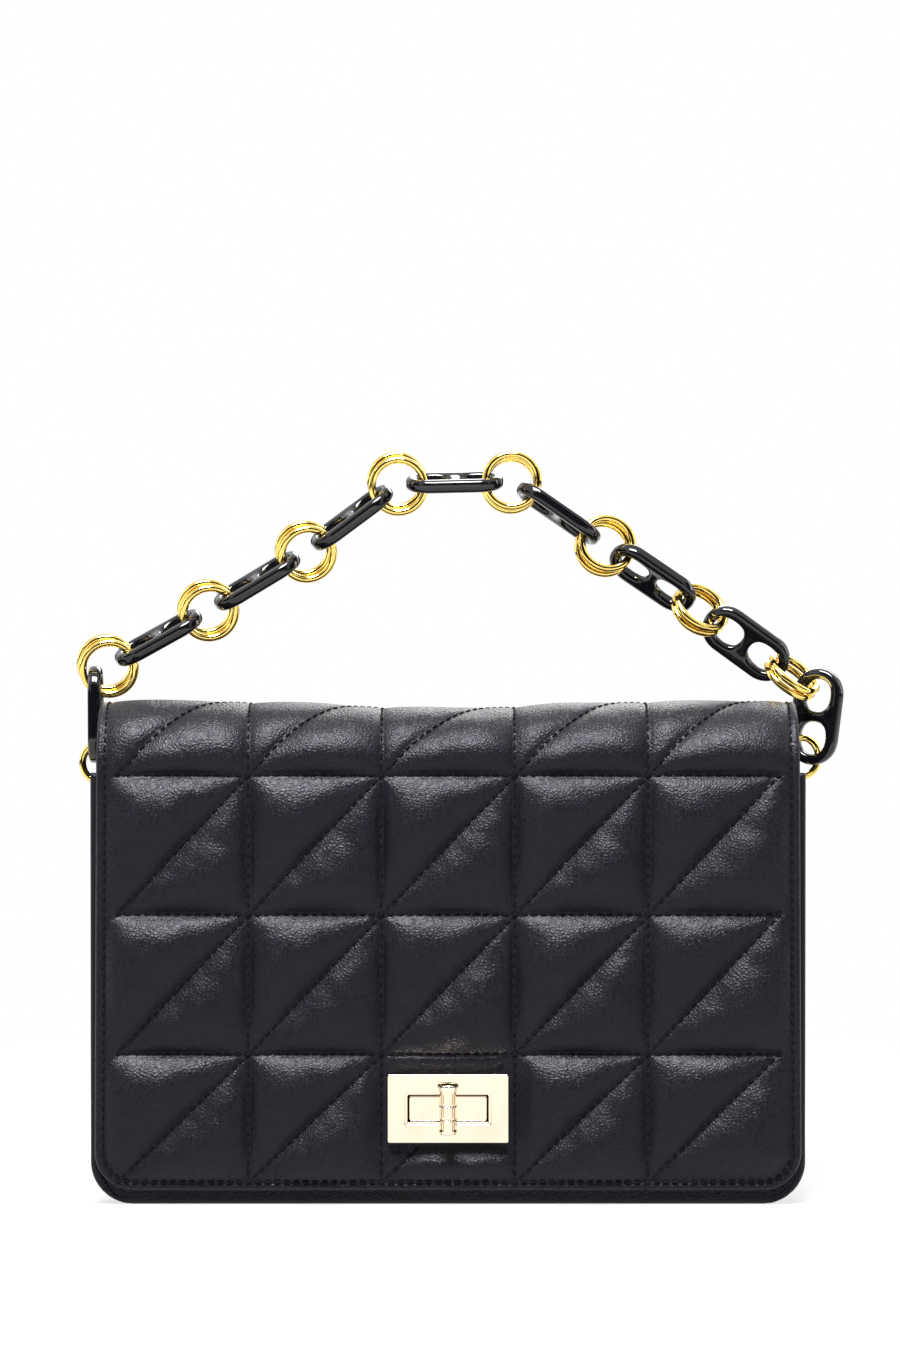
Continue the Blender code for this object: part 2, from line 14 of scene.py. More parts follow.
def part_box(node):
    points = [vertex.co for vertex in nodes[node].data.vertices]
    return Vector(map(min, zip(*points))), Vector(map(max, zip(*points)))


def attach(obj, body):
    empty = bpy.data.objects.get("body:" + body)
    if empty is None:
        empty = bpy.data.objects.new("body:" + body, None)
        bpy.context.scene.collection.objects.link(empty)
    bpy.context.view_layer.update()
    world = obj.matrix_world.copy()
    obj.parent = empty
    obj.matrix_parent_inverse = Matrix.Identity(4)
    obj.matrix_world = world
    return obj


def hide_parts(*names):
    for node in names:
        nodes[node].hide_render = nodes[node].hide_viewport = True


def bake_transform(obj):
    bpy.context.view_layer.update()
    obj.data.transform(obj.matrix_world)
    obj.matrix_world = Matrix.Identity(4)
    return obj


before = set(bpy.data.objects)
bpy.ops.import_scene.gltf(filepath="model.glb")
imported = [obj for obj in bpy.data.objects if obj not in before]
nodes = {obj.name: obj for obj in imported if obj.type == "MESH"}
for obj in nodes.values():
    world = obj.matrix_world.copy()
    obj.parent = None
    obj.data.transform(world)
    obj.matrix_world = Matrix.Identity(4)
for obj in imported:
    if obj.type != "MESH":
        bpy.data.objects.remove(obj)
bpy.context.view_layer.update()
print("solids:", len(nodes))

# %% [markdown]
# Finishes first. Each material is a few nodes around one Principled shader. A helper makes the
# shader, and a second one joins a pattern to its bump, so each finish is only the part of it
# that differs. Patterns read Object coordinates in metres, so a scale of 1000 is a millimetre.

# %% A shader and a bump
def set_all(item, **values):
    """Sets a node's inputs, with _ for a space in a name, and anything else as an attribute."""
    for key, value in values.items():
        label = key.replace("_", " ")
        if label in getattr(item, "inputs", ()):
            item.inputs[label].default_value = value
        else:
            setattr(item, key, value)
    return item


def new_finish(name, color, roughness, metallic=0.0):
    finish = bpy.data.materials.new(name)
    finish.use_nodes = True
    tree = finish.node_tree
    shader = set_all(tree.nodes["Principled BSDF"], Base_Color=(*color, 1), Roughness=roughness,
                     Metallic=metallic)
    return finish, tree, shader


def add_node(tree, kind, **values):
    return set_all(tree.nodes.new(kind), **values)


def add_pattern(tree, kind, **values):
    """A texture node that reads a piece's own coordinates, in metres."""
    place = add_node(tree, "ShaderNodeTexCoord")
    pattern = add_node(tree, kind, **values)
    tree.links.new(place.outputs["Object"], pattern.inputs["Vector"])
    return pattern


def add_bump(tree, shader, height, distance, strength=1.0, under=None):
    bump = add_node(tree, "ShaderNodeBump", Distance=distance, Strength=strength)
    tree.links.new(height, bump.inputs["Height"])
    if under is not None:
        tree.links.new(under.outputs["Normal"], bump.inputs["Normal"])
    tree.links.new(bump.outputs["Normal"], shader.inputs["Normal"])
    return bump


def add_tint(tree, shader, value, low, high, low_color, high_color):
    """The finish's color goes from one to the other as a value goes from low to high."""
    ramp = add_node(tree, "ShaderNodeValToRGB")
    for element, at, color in zip(ramp.color_ramp.elements, (low, high), (low_color, high_color)):
        element.position = at
        element.color = (*color, 1)
    tree.links.new(value, ramp.inputs["Fac"])
    tree.links.new(ramp.outputs["Color"], shader.inputs["Base Color"])


def spread(tree, value, low, high):
    span = add_node(tree, "ShaderNodeMapRange", To_Min=low, To_Max=high)
    tree.links.new(value, span.inputs["Value"])
    return span.outputs["Result"]


# %% [markdown]
# The leather is a fine-grained black hide with a soft sheen. Real grain is a net of small
# rounded cells with creases between them, which Voronoi's distance to the edge draws well. A
# second, broader noise makes the cells uneven, and a slow one changes the gloss, as handling does.

# %% Leather
grain_scale = 950.0
grain_depth = 0.00014
grain_bend = 0.0009
crease_scale = 300.0
crease_share = 1.6
cell_share = 2.2
handling_scale = 38.0


def make_leather(name, dark, light, gloss_low, gloss_high, depth=grain_depth):
    finish, tree, shader = new_finish(name, light, gloss_low)
    place = add_node(tree, "ShaderNodeTexCoord")
    bend = add_pattern(tree, "ShaderNodeTexNoise", Scale=grain_scale / 3, Detail=2.0)
    offset = add_node(tree, "ShaderNodeVectorMath", operation="SCALE", Scale=grain_bend)
    tree.links.new(bend.outputs["Color"], offset.inputs[0])
    moved = add_node(tree, "ShaderNodeVectorMath", operation="ADD")
    tree.links.new(place.outputs["Object"], moved.inputs[0])
    tree.links.new(offset.outputs["Vector"], moved.inputs[1])
    cells = add_node(tree, "ShaderNodeTexVoronoi", feature="DISTANCE_TO_EDGE", Scale=grain_scale)
    tree.links.new(moved.outputs["Vector"], cells.inputs["Vector"])
    soft = spread(tree, cells.outputs["Distance"], 0.0, 1.0)
    folds = add_pattern(tree, "ShaderNodeTexNoise", Scale=crease_scale, Detail=4.0, Roughness=0.6)
    broad = add_bump(tree, shader, folds.outputs["Fac"], depth * crease_share, 0.5)
    add_bump(tree, shader, soft, depth * cell_share, 0.75, broad)
    wear = add_pattern(tree, "ShaderNodeTexNoise", Scale=handling_scale, Detail=3.0)
    tree.links.new(spread(tree, wear.outputs["Fac"], gloss_low, gloss_high), shader.inputs["Roughness"])
    add_tint(tree, shader, cells.outputs["Distance"], 0.02, 0.22, dark, light)
    set_all(shader, Specular_IOR_Level=0.25, Specular_Tint=(0.93, 0.91, 1.0, 1))
    return finish


flap_leather = make_leather("flap_leather", (0.002, 0.002, 0.003), (0.0050, 0.0048, 0.0090), 0.35, 0.48)
body_leather = make_leather("body_leather", (0.002, 0.002, 0.003), (0.0046, 0.0044, 0.0080), 0.35, 0.47)
edge_leather = make_leather("edge_leather", (0.003, 0.003, 0.004), (0.007, 0.007, 0.009), 0.28, 0.40,
                            grain_depth / 3)
print("leathers:", flap_leather.name, body_leather.name, edge_leather.name)

# %% [markdown]
# Thread, lining and the board inside. Thread is a twisted cord, so bands across it give its
# strands. The lining is a dark woven twill: two sets of fine waves that cross, one for each way
# of the yarn.

# %% Thread, lining and board
def make_thread():
    finish, tree, shader = new_finish("black_thread", (0.0025, 0.0025, 0.003), 0.8)
    twist = add_pattern(tree, "ShaderNodeTexWave", bands_direction="DIAGONAL", Scale=900.0, Distortion=0.4)
    add_bump(tree, shader, twist.outputs["Fac"], 0.00008, 0.8)
    set_all(shader, Specular_IOR_Level=0.15)
    return finish


def make_twill(name, dark, light):
    finish, tree, shader = new_finish(name, light, 0.8)
    ribs = add_pattern(tree, "ShaderNodeTexWave", bands_direction="DIAGONAL", Scale=260.0, Distortion=0.6,
                       Detail=1.0)
    yarn = add_pattern(tree, "ShaderNodeTexWave", bands_direction="Z", Scale=520.0, Distortion=0.8)
    both = add_node(tree, "ShaderNodeMath", operation="MULTIPLY_ADD")
    both.inputs[1].default_value = 0.5
    tree.links.new(yarn.outputs["Fac"], both.inputs[0])
    tree.links.new(ribs.outputs["Fac"], both.inputs[2])
    add_bump(tree, shader, both.outputs["Value"], 0.00012, 0.7)
    add_tint(tree, shader, both.outputs["Value"], 0.2, 1.2, dark, light)
    set_all(shader, Sheen_Weight=0.25)
    return finish


def make_board():
    finish, tree, shader = new_finish("fibre_board", (0.3, 0.28, 0.26), 0.85)
    fibres = add_pattern(tree, "ShaderNodeTexNoise", Scale=700.0, Detail=6.0)
    add_bump(tree, shader, fibres.outputs["Fac"], 0.0001, 0.5)
    add_tint(tree, shader, fibres.outputs["Fac"], 0.35, 0.65, (0.2, 0.19, 0.17), (0.36, 0.34, 0.31))
    return finish


thread = make_thread()
twill = make_twill("lining_twill", (0.012, 0.012, 0.014), (0.045, 0.044, 0.048))
board = make_board()

# %% [markdown]
# The metals and the resin are polished, so what they show is mostly their surroundings. A
# perfect mirror looks drawn, so a faint noise moves the gloss and the surface a little, as
# buffing does. The lock is plated in a paler gold than the rings.

# %% Gold, pale gold and resin
def make_polished(name, color, metallic, gloss_low, gloss_high, ripple, coat=0.0):
    finish, tree, shader = new_finish(name, color, gloss_low, metallic)
    buff = add_pattern(tree, "ShaderNodeTexNoise", Scale=190.0, Detail=3.0)
    tree.links.new(spread(tree, buff.outputs["Fac"], gloss_low, gloss_high), shader.inputs["Roughness"])
    add_bump(tree, shader, buff.outputs["Fac"], ripple, 0.25)
    tarnish = add_pattern(tree, "ShaderNodeTexNoise", Scale=90.0, Detail=2.0)
    add_tint(tree, shader, tarnish.outputs["Fac"], 0.3, 0.6, [part * 0.90 for part in color], color)
    set_all(shader, Coat_Weight=coat, Coat_Roughness=0.03)
    return finish


ring_gold = make_polished("ring_gold", (1.0, 0.73, 0.20), 1.0, 0.03, 0.07, 0.000006)
lock_gold = make_polished("lock_gold", (1.0, 0.88, 0.69), 1.0, 0.06, 0.10, 0.00002)
link_resin = make_polished("link_resin", (0.003, 0.003, 0.004), 0.0, 0.05, 0.10, 0.00002, 0.1)

# %% [markdown]
# Many pieces here are a bent sheet with a thickness: the flap, the panels, the gussets and the
# lining. One helper builds all of them from a grid of outer points and a grid of inner points,
# and closes the rim wherever a face has no neighbour, so a window can be left out of the grid.

# %% A closed shell from two grids
def new_object(name, data):
    item = bpy.data.objects.new(name, data)
    bpy.context.scene.collection.objects.link(item)
    return item


def new_mesh(name, points, faces, edges=()):
    mesh = bpy.data.meshes.new(name)
    mesh.from_pydata(points, edges, faces)
    mesh.shade_smooth()
    return mesh


def merged(mesh, reach):
    """A bmesh of a mesh, in which points closer than reach are one."""
    bm = bmesh.new()
    bm.from_mesh(mesh)
    bmesh.ops.remove_doubles(bm, verts=bm.verts, dist=reach)
    return bm


def written(bm, mesh):
    """Writes a bmesh into a mesh, and ends the bmesh."""
    bm.to_mesh(mesh)
    bm.free()
    return mesh


def settled_mesh(maker):
    """What an object's modifiers or its curve make, as a plain mesh. The object itself goes."""
    depsgraph = bpy.context.evaluated_depsgraph_get()
    mesh = bpy.data.meshes.new_from_object(maker.evaluated_get(depsgraph))
    bpy.data.objects.remove(maker)
    return mesh


def grid_cells(rows, columns):
    """The numbers of the four points round each cell of a grid."""
    place = np.arange(rows * columns).reshape(rows, columns)
    return np.stack([place[:-1, :-1], place[:-1, 1:], place[1:, 1:], place[1:, :-1]], axis=-1)


def shell(name, outer, inner, keep=None):
    """outer and inner are arrays of rows x columns x 3. keep tells which cells of the grid stay."""
    points = np.concatenate([outer.reshape(-1, 3), inner.reshape(-1, 3)])
    count = len(points) // 2
    quads = grid_cells(*outer.shape[:2])
    if keep is not None:
        quads = quads[keep]
    quads = quads.reshape(-1, 4)
    edges = set()
    for quad in quads.tolist():
        edges.update(zip(quad, quad[1:] + quad[:1]))
    rim = [(b, a, a + count, b + count) for a, b in edges if (b, a) not in edges]
    faces = quads.tolist() + (quads[:, ::-1] + count).tolist() + sorted(rim)
    mesh = new_mesh(name, points.tolist(), faces)
    bm = bmesh.new()
    bm.from_mesh(mesh)
    loose = [v for v in bm.verts if not v.link_faces]
    bmesh.ops.delete(bm, geom=loose, context="VERTS")
    if bm.calc_volume(signed=True) < 0:
        bmesh.ops.reverse_faces(bm, faces=bm.faces)
    return new_object(name, written(bm, mesh))


def refinish(piece, finish):
    piece.data.materials.clear()
    piece.data.materials.append(finish)


def finish_piece(piece, finish, body, slot, *stands_for):
    """Gives a piece its finish and its body, and hides the solids that it stands for. The slot is not used.
    """
    refinish(piece, finish)
    if body is not None:
        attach(piece, body)
    if stands_for:
        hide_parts(*stands_for)
    return piece


def ripple_at(points, scale, seed):
    """Smooth noise from -1 to 1 at each point of an array."""
    flat = points.reshape(-1, points.shape[-1])
    shift = Vector((seed * 7.3, seed * 3.1, seed * 1.7))
    made = [noise.noise(Vector(p) * scale + shift) for p in flat.tolist()]
    return np.array(made).reshape(points.shape[:-1])


def flat_ripple(x, y, scale, seed):
    """The same noise over a flat pattern, from its two coordinates."""
    return ripple_at(np.stack([x * scale, y * scale, x * 0], axis=-1), 1.0, seed)


# %% [markdown]
# The flap is one long strip of leather: up the front, round the front edge, over the top and
# down the back, where it is sewn on. Its line is drawn once, seen from the side, as straight
# runs and arcs. Any length along the leather then gives a place and a direction away from it.

# %% The line that the flap follows
front_y = -0.0358
flap_low = 0.0046
top_height = 0.1535
front_radius = 0.0200
rear_height = 0.1478
rear_y = 0.0347
rear_radius = 0.0160
rear_low = 0.1000
crease_y = -0.0100
line_step = 0.0005


def flap_line():
    turns = np.linspace(0, math.pi / 2, 60)
    front = [(front_y, z) for z in np.arange(flap_low, top_height - front_radius, line_step)]
    middle = front_y + front_radius
    front += [(middle - front_radius * math.cos(t), top_height - front_radius + front_radius * math.sin(t))
              for t in turns]
    back_middle = rear_y - rear_radius
    slope = math.atan2(top_height - rear_height, back_middle - crease_y)
    rear = [(crease_y + 0.002, top_height - 0.0001)]
    bend = np.linspace(slope, math.pi / 2, 50)
    rear += [(back_middle + rear_radius * math.sin(t), rear_height - rear_radius + rear_radius * math.cos(t))
             for t in bend]
    rear += [(rear_y, z) for z in np.arange(rear_height - rear_radius - line_step, rear_low, -line_step)]
    points = np.array(front + rear)
    ways = np.concatenate([[0], np.cumsum(np.hypot(*np.diff(points, axis=0).T))])
    even = np.arange(0, ways[-1], line_step)
    line = np.stack([np.interp(even, ways, points[:, k]) for k in range(2)], axis=1)
    window = np.hanning(15)
    window /= window.sum()
    padded = np.pad(line, ((7, 7), (0, 0)), mode="reflect", reflect_type="odd")
    smooth = np.stack([np.convolve(padded[:, k], window, mode="valid") for k in range(2)], axis=1)
    slopes = np.gradient(smooth, axis=0)
    slopes /= np.linalg.norm(slopes, axis=1)[:, None]
    return even, smooth, np.stack([-slopes[:, 1], slopes[:, 0]], axis=1)


line_ways, line_points, line_outward = flap_line()
flap_length = float(line_ways[-1])
crease_way = float(np.interp(crease_y, line_points[: len(line_points) * 3 // 4, 0],
                             line_ways[: len(line_points) * 3 // 4]))
print(f"flap length {flap_length:.4f} m, crease at {crease_way:.4f} m")

# %% [markdown]
# The quilting divides the flap into square cells, and one diagonal divides each cell into two
# three-cornered pads. A pad filled with wadding rises like a skin blown up over a triangle: the
# product of the distances to its three seams has that shape, and a quick rise off each seam
# makes its sides steeper. A groove is pressed in along each seam, and fine gathers run off it.

# %% The height of the quilting
flap_half = 0.1076
flap_corner = 0.012
border_inset = 0.0026
first_seam = 0.0465 - flap_low
cell_high = 0.04275
cell_wide = 0.0408
seam_end = 0.1012
column_edges = np.array([-0.1050, -0.0612, -0.0204, 0.0204, 0.0612, 0.1050])
slant_starts = np.array([-seam_end, -0.0612, -0.0204, 0.0204, 0.0612])
slant_ends = np.array([-0.0612, -0.0204, 0.0204, 0.0612, seam_end])
row_edges = [border_inset]
while first_seam + cell_high * (len(row_edges) - 1) < flap_length - 0.006:
    row_edges.append(first_seam + cell_high * (len(row_edges) - 1))
row_edges = np.array(row_edges + [flap_length - border_inset])
pad_rise = 0.0062
pad_shoulder = 0.0040
slant_slack = 0.0018
dome_share = 0.22
top_flattening = 0.80
groove_depth = 0.0004
groove_width = 0.0008
gather_height = 0.00022
gather_scale = 420
gather_reach = 0.0045
gather_start = 0.0016
fold_scale = 70
fold_share = 0.16
binding_height = 0.0003
plate_half = (0.0185, 0.0105)
plate_way = 0.0301 - flap_low
plate_clear = 0.0085
edge_round = 0.0013
inner_circle = (cell_wide + cell_high - math.hypot(cell_wide, cell_high)) / 2


def smooth_step(share):
    share = np.clip(share, 0, 1)
    return share * share * (3 - 2 * share)


def flap_half_at(way):
    return flap_half + 0.0008 * (1 - np.clip(way / 0.15, 0, 1))


def cornered(half, corner, height):
    """Half the width of a sheet with two round lower corners, at a height above its foot."""
    reach = np.clip(corner - height, 0, corner)
    return half - corner + np.sqrt(np.maximum(corner ** 2 - reach ** 2, 0))


def half_width(way):
    return cornered(flap_half_at(way), flap_corner, way)


def rolled(to_edge, radius):
    """How far a face has rolled back, at a distance from its edge."""
    turn = np.clip(1 - to_edge / radius, 0, 1)
    return radius * (1 - np.sqrt(np.clip(1 - turn ** 2, 0, 1)))


def edge_distance(x, way):
    """Distance in from the flap's outline, whose two lower corners are round."""
    across = np.abs(x) - (flap_half_at(way) - flap_corner)
    down = flap_corner - way
    outside = np.hypot(np.maximum(across, 0), np.maximum(down, 0)) + np.minimum(np.maximum(across, down), 0)
    return np.minimum(flap_corner - outside, flap_length - way)


def seam_distances(x, way):
    """Distances to the upright, level and slanting seam round a pad, and to the nearest of any."""
    to_border = edge_distance(x, way) - border_inset
    column = np.clip(np.searchsorted(column_edges, x) - 1, 0, 4)
    row = np.clip(np.searchsorted(row_edges, way) - 1, 0, len(row_edges) - 2)
    low, high = row_edges[row], row_edges[row + 1]
    run = slant_ends[column] - slant_starts[column]
    rise = np.where(row == len(row_edges) - 2, cell_high, high - low)
    side = ((way - low) * run - (x - slant_starts[column]) * rise) / np.hypot(run, rise)
    left = np.where(column == 0, to_border, x - column_edges[column])
    right = np.where(column == 4, to_border, column_edges[column + 1] - x)
    past_end = np.maximum(np.abs(x) - seam_end, 0)
    below = np.where(row == 0, to_border, np.hypot(way - low, past_end))
    above = np.where(row == len(row_edges) - 2, to_border, np.hypot(high - way, past_end))
    upper = side > 0
    upright = np.where(upper, left, right)
    level = np.where(upper, above, below)
    nearest = np.minimum.reduce([np.abs(left), np.abs(right), np.abs(below), np.abs(above), np.abs(side)])
    return upright, level, np.abs(side), np.minimum(nearest, np.abs(to_border)), to_border


def plate_distance(x, way):
    """How far a place lies outside the lock's plate."""
    return np.maximum(np.abs(x) - plate_half[0], np.abs(way - plate_way) - plate_half[1])


# %% [markdown]
# Wadding under leather never rises evenly: the skin has to gather along every seam. That is
# simulated. The flap's pattern is laid out flat as a sheet of cloth, pinned where it is sewn, cut
# a little too large, and blown up by pressure from below. Only its heights are kept, as a table
# that the finer leather reads. The sheet is ten times life size, because the solver is made for
# garments, and the cap holds back any point that flies.

# %% Blow up the pads
pattern_scale = 10.0
pattern_cell = 0.0016
sewn_share = 0.62
plate_hold = 0.001
pad_pressure = 6.0
pad_slack = -0.03
pad_frames = 20
pad_cap = 0.0045
swell_share = 0.38
swell_gain = 1.45


def blown_pads():
    """Heights of the simulated pads over the flat pattern, with the pattern's two scales."""
    across = np.linspace(-flap_half, flap_half, int(2 * flap_half / pattern_cell) + 1)
    along = np.linspace(0, flap_length, int(flap_length / pattern_cell) + 1)
    way, x = np.meshgrid(along, across, indexing="ij")
    nearest, to_border = seam_distances(x, way)[3:]
    sewn = ((nearest < pattern_cell * sewn_share) | (to_border < pattern_cell / 2)
            | (plate_distance(x, way) < plate_hold))
    points = np.stack([x, way, 0.0001 * ~sewn], axis=-1).reshape(-1, 3) * pattern_scale
    mesh = new_mesh("flap_pattern", points.tolist(), grid_cells(*way.shape).reshape(-1, 4).tolist())
    sheet = new_object("flap_pattern", mesh)
    seams = sheet.vertex_groups.new(name="Sewn")
    seams.add(np.flatnonzero(sewn.ravel()).tolist(), 1.0, "REPLACE")
    cloth = sheet.modifiers.new("Leather", "CLOTH")
    set_all(cloth.settings, vertex_group_mass="Sewn", tension_stiffness=20, compression_stiffness=20,
            shear_stiffness=8, bending_stiffness=6.0, shrink_min=pad_slack, use_pressure=True,
            uniform_pressure_force=pad_pressure)
    cloth.settings.effector_weights.gravity = 0.0
    cloth.collision_settings.use_collision = False
    cloth.point_cache.frame_end = pad_frames
    for number in range(1, pad_frames + 1):
        bpy.context.scene.frame_set(number)
    depsgraph = bpy.context.evaluated_depsgraph_get()
    blown = np.array([v.co.z for v in sheet.evaluated_get(depsgraph).data.vertices]) / pattern_scale
    bpy.data.objects.remove(sheet)
    bpy.data.meshes.remove(mesh)
    bpy.context.scene.frame_set(1)
    heights = np.clip(blown, 0, pad_cap).reshape(way.shape)
    for axis in (0, 1):
        heights = (np.roll(heights, 1, axis) + 2 * heights + np.roll(heights, -1, axis)) / 4
    return across, along, heights


pattern_across, pattern_along, pattern_heights = blown_pads()
if pattern_heights is not None:
    print("pads rise to", round(float(pattern_heights.max()) * 1000, 2), "mm")


def pad_swell(x, way):
    """The simulated height at any place on the pattern, between the table's points."""
    column = np.interp(x, pattern_across, np.arange(len(pattern_across)))
    row = np.interp(way, pattern_along, np.arange(len(pattern_along)))
    left = np.minimum(column.astype(int), len(pattern_across) - 2)
    low = np.minimum(row.astype(int), len(pattern_along) - 2)
    across, up = column - left, row - low
    table = pattern_heights
    return ((table[low, left] * (1 - across) + table[low, left + 1] * across) * (1 - up)
            + (table[low + 1, left] * (1 - across) + table[low + 1, left + 1] * across) * up)


# %% The height of the leather
def quilt_height(x, way):
    upright, level, slant, nearest, to_border = seam_distances(x, way)
    rises = [1 - np.exp(-np.clip(d, 0, None) / pad_shoulder) for d in (upright, level, slant + slant_slack)]
    dome = np.clip(upright, 0, None) * np.clip(level, 0, None) * slant / inner_circle ** 3
    pad = pad_rise * ((1 - dome_share) * rises[0] * rises[1] * rises[2] + dome_share * dome)
    if pattern_heights is not None:
        pad = (1 - swell_share) * pad + swell_share * swell_gain * pad_swell(x, way)
    gathers = flat_ripple(x, way, gather_scale, 3)
    pad += gather_height * gathers * np.exp(-nearest / gather_reach) * smooth_step(nearest / gather_start)
    folds = flat_ripple(x, way, fold_scale, 5)
    pad *= 1 + fold_share * folds
    out_z = np.clip(np.interp(way, line_ways, line_outward[:, 1]), 0, 1)
    pad *= 1 - top_flattening * out_z ** 1.2
    pad *= smooth_step(plate_distance(x, way) / plate_clear)
    groove = groove_depth * np.exp(-(nearest / groove_width) ** 2)
    height = np.where(to_border > 0, pad, binding_height) - groove
    return height - rolled(to_border + border_inset, edge_round)


top_sag = 0.0022
sag_middle = -0.0024
sag_width = 0.040


def flap_points(x, way, height):
    """Places on the flap. The top sinks a little in the middle, as the leather rests on air."""
    y = np.interp(way, line_ways, line_points[:, 0])
    z = np.interp(way, line_ways, line_points[:, 1])
    out_y = np.interp(way, line_ways, line_outward[:, 0])
    out_z = np.interp(way, line_ways, line_outward[:, 1])
    on_top = np.clip(out_z, 0, 1) ** 1.5
    sag = top_sag * np.exp(-((x - sag_middle) / sag_width) ** 2) * on_top
    rear = smooth_step((y - 0.004) / 0.02)
    return np.stack([x, y + out_y * height, z + out_z * height - sag * (1 - rear)], axis=-1)


# %% The quilted flap
flap_cell = 0.0009
flap_thick = 0.0022
window_hole = (0.0140, 0.0056)


def graded(length, fine, coarse, ends):
    """Places from 0 to length, close together near both ends."""
    steps = [0.0]
    while steps[-1] < length:
        near = min(steps[-1], length - steps[-1])
        steps.append(steps[-1] + (fine if near < ends else coarse))
    steps = np.array(steps)
    return steps * length / steps[-1]


def cells_off_window(x, way):
    """Which cells of a grid stay: those outside the hole for the lock's window."""
    middle_x = (x[:-1, :-1] + x[1:, 1:]) / 2
    middle_way = (way[:-1, :-1] + way[1:, 1:]) / 2
    return ~((np.abs(middle_x) < window_hole[0]) & (np.abs(middle_way - plate_way) < window_hole[1]))


ways = graded(flap_length, 0.0004, flap_cell, 0.0024)
shares = graded(2 * flap_half, 0.0004, flap_cell, 0.0020) / flap_half - 1
way_grid, share_grid = np.meshgrid(ways, shares, indexing="ij")
x_grid = share_grid * half_width(way_grid)
flap_outer = flap_points(x_grid, way_grid, quilt_height(x_grid, way_grid))
flap_inner = flap_points(x_grid, way_grid, np.full_like(x_grid, -flap_thick))
quilted_flap = shell("quilted_flap", flap_outer, flap_inner, cells_off_window(x_grid, way_grid))
print("flap faces:", len(quilted_flap.data.polygons))

# %% [markdown]
# The stitching is thousands of identical short threads that follow seams, which is what Geometry
# Nodes are for. The seams become edges lying on the leather. The tree sets a point at every
# stitch, lays a small rounded thread along the seam there and gives it its material.

# %% A tree that sews along edges
def sewing_tree():
    tree = bpy.data.node_groups.new("Sew Along Edges", "GeometryNodeTree")
    face = tree.interface
    face.new_socket("Geometry", in_out="INPUT", socket_type="NodeSocketGeometry")
    for label, value in (("Stitch Pitch", 0.0029), ("Stitch Length", 0.0022), ("Thread Radius", 0.00036)):
        socket = face.new_socket(label, in_out="INPUT", socket_type="NodeSocketFloat")
        socket.default_value = value
    face.new_socket("Thread", in_out="INPUT", socket_type="NodeSocketMaterial")
    face.new_socket("Geometry", in_out="OUTPUT", socket_type="NodeSocketGeometry")
    entry = tree.nodes.new("NodeGroupInput")
    leave = tree.nodes.new("NodeGroupOutput")
    curve = tree.nodes.new("GeometryNodeMeshToCurve")
    points = add_node(tree, "GeometryNodeCurveToPoints", mode="LENGTH")
    ball = add_node(tree, "GeometryNodeMeshUVSphere", Segments=6, Rings=5, Radius=1.0)
    half = add_node(tree, "ShaderNodeMath", operation="MULTIPLY")
    half.inputs[1].default_value = 0.5
    size = tree.nodes.new("ShaderNodeCombineXYZ")
    shape = tree.nodes.new("GeometryNodeTransform")
    place = tree.nodes.new("GeometryNodeInstanceOnPoints")
    real = tree.nodes.new("GeometryNodeRealizeInstances")
    color = tree.nodes.new("GeometryNodeSetMaterial")
    for giver, output, taker, socket in (
            (entry, "Geometry", curve, "Mesh"), (curve, "Curve", points, "Curve"),
            (entry, "Stitch Pitch", points, "Length"), (entry, "Stitch Length", half, 0),
            (entry, "Thread Radius", size, "X"), (entry, "Thread Radius", size, "Y"),
            (half, "Value", size, "Z"), (ball, "Mesh", shape, "Geometry"),
            (size, "Vector", shape, "Scale"), (points, "Points", place, "Points"),
            (points, "Rotation", place, "Rotation"), (shape, "Geometry", place, "Instance"),
            (place, "Instances", real, "Geometry"), (real, "Geometry", color, "Geometry"),
            (entry, "Thread", color, "Material"), (color, "Geometry", leave, "Geometry")):
        tree.links.new(giver.outputs[output], taker.inputs[socket])
    return tree


sewing = sewing_tree()


def sew(name, seams, **sizes):
    """Turns lists of points into rows of stitches, as a plain mesh."""
    points, edges = [], []
    for seam in seams:
        start = len(points)
        points += [tuple(p) for p in seam]
        edges += [(i, i + 1) for i in range(start, len(points) - 1)]
    maker = new_object(name + "_maker", new_mesh(name + "_guide", points, [], edges))
    modifier = maker.modifiers.new("Sew", "NODES")
    modifier.node_group = sewing
    sockets = {s.name: s.identifier for s in sewing.interface.items_tree if s.in_out == "INPUT"}
    modifier[sockets["Thread"]] = thread
    for label, value in sizes.items():
        modifier[sockets[label.replace("_", " ").title()]] = value
    mesh = settled_mesh(maker)
    mesh.name = name
    mesh.shade_smooth()
    return new_object(name, mesh)


# %% The flap's seams
seam_step = 0.0008
stitch_lift = 0.00046


def seam_on_flap(x_start, way_start, x_end, way_end):
    length = math.hypot(x_end - x_start, way_end - way_start)
    shares = np.linspace(0, 1, max(3, int(length / seam_step)))
    x = x_start + (x_end - x_start) * shares
    way = way_start + (way_end - way_start) * shares
    return flap_points(x, way, quilt_height(x, way) + stitch_lift)


def outside_plate(x, way, room=0.0016):
    return not (abs(x) < plate_half[0] + room and abs(way - plate_way) < plate_half[1] + room)


def clear_runs(path, ways_on):
    """The parts of a seam that the lock's plate doesn't cover."""
    runs, run = [], []
    for point, way in zip(path, ways_on):
        if outside_plate(point[0], way):
            run.append(point)
        else:
            runs.append(run)
            run = []
    return [r for r in runs + [run] if len(r) > 4]


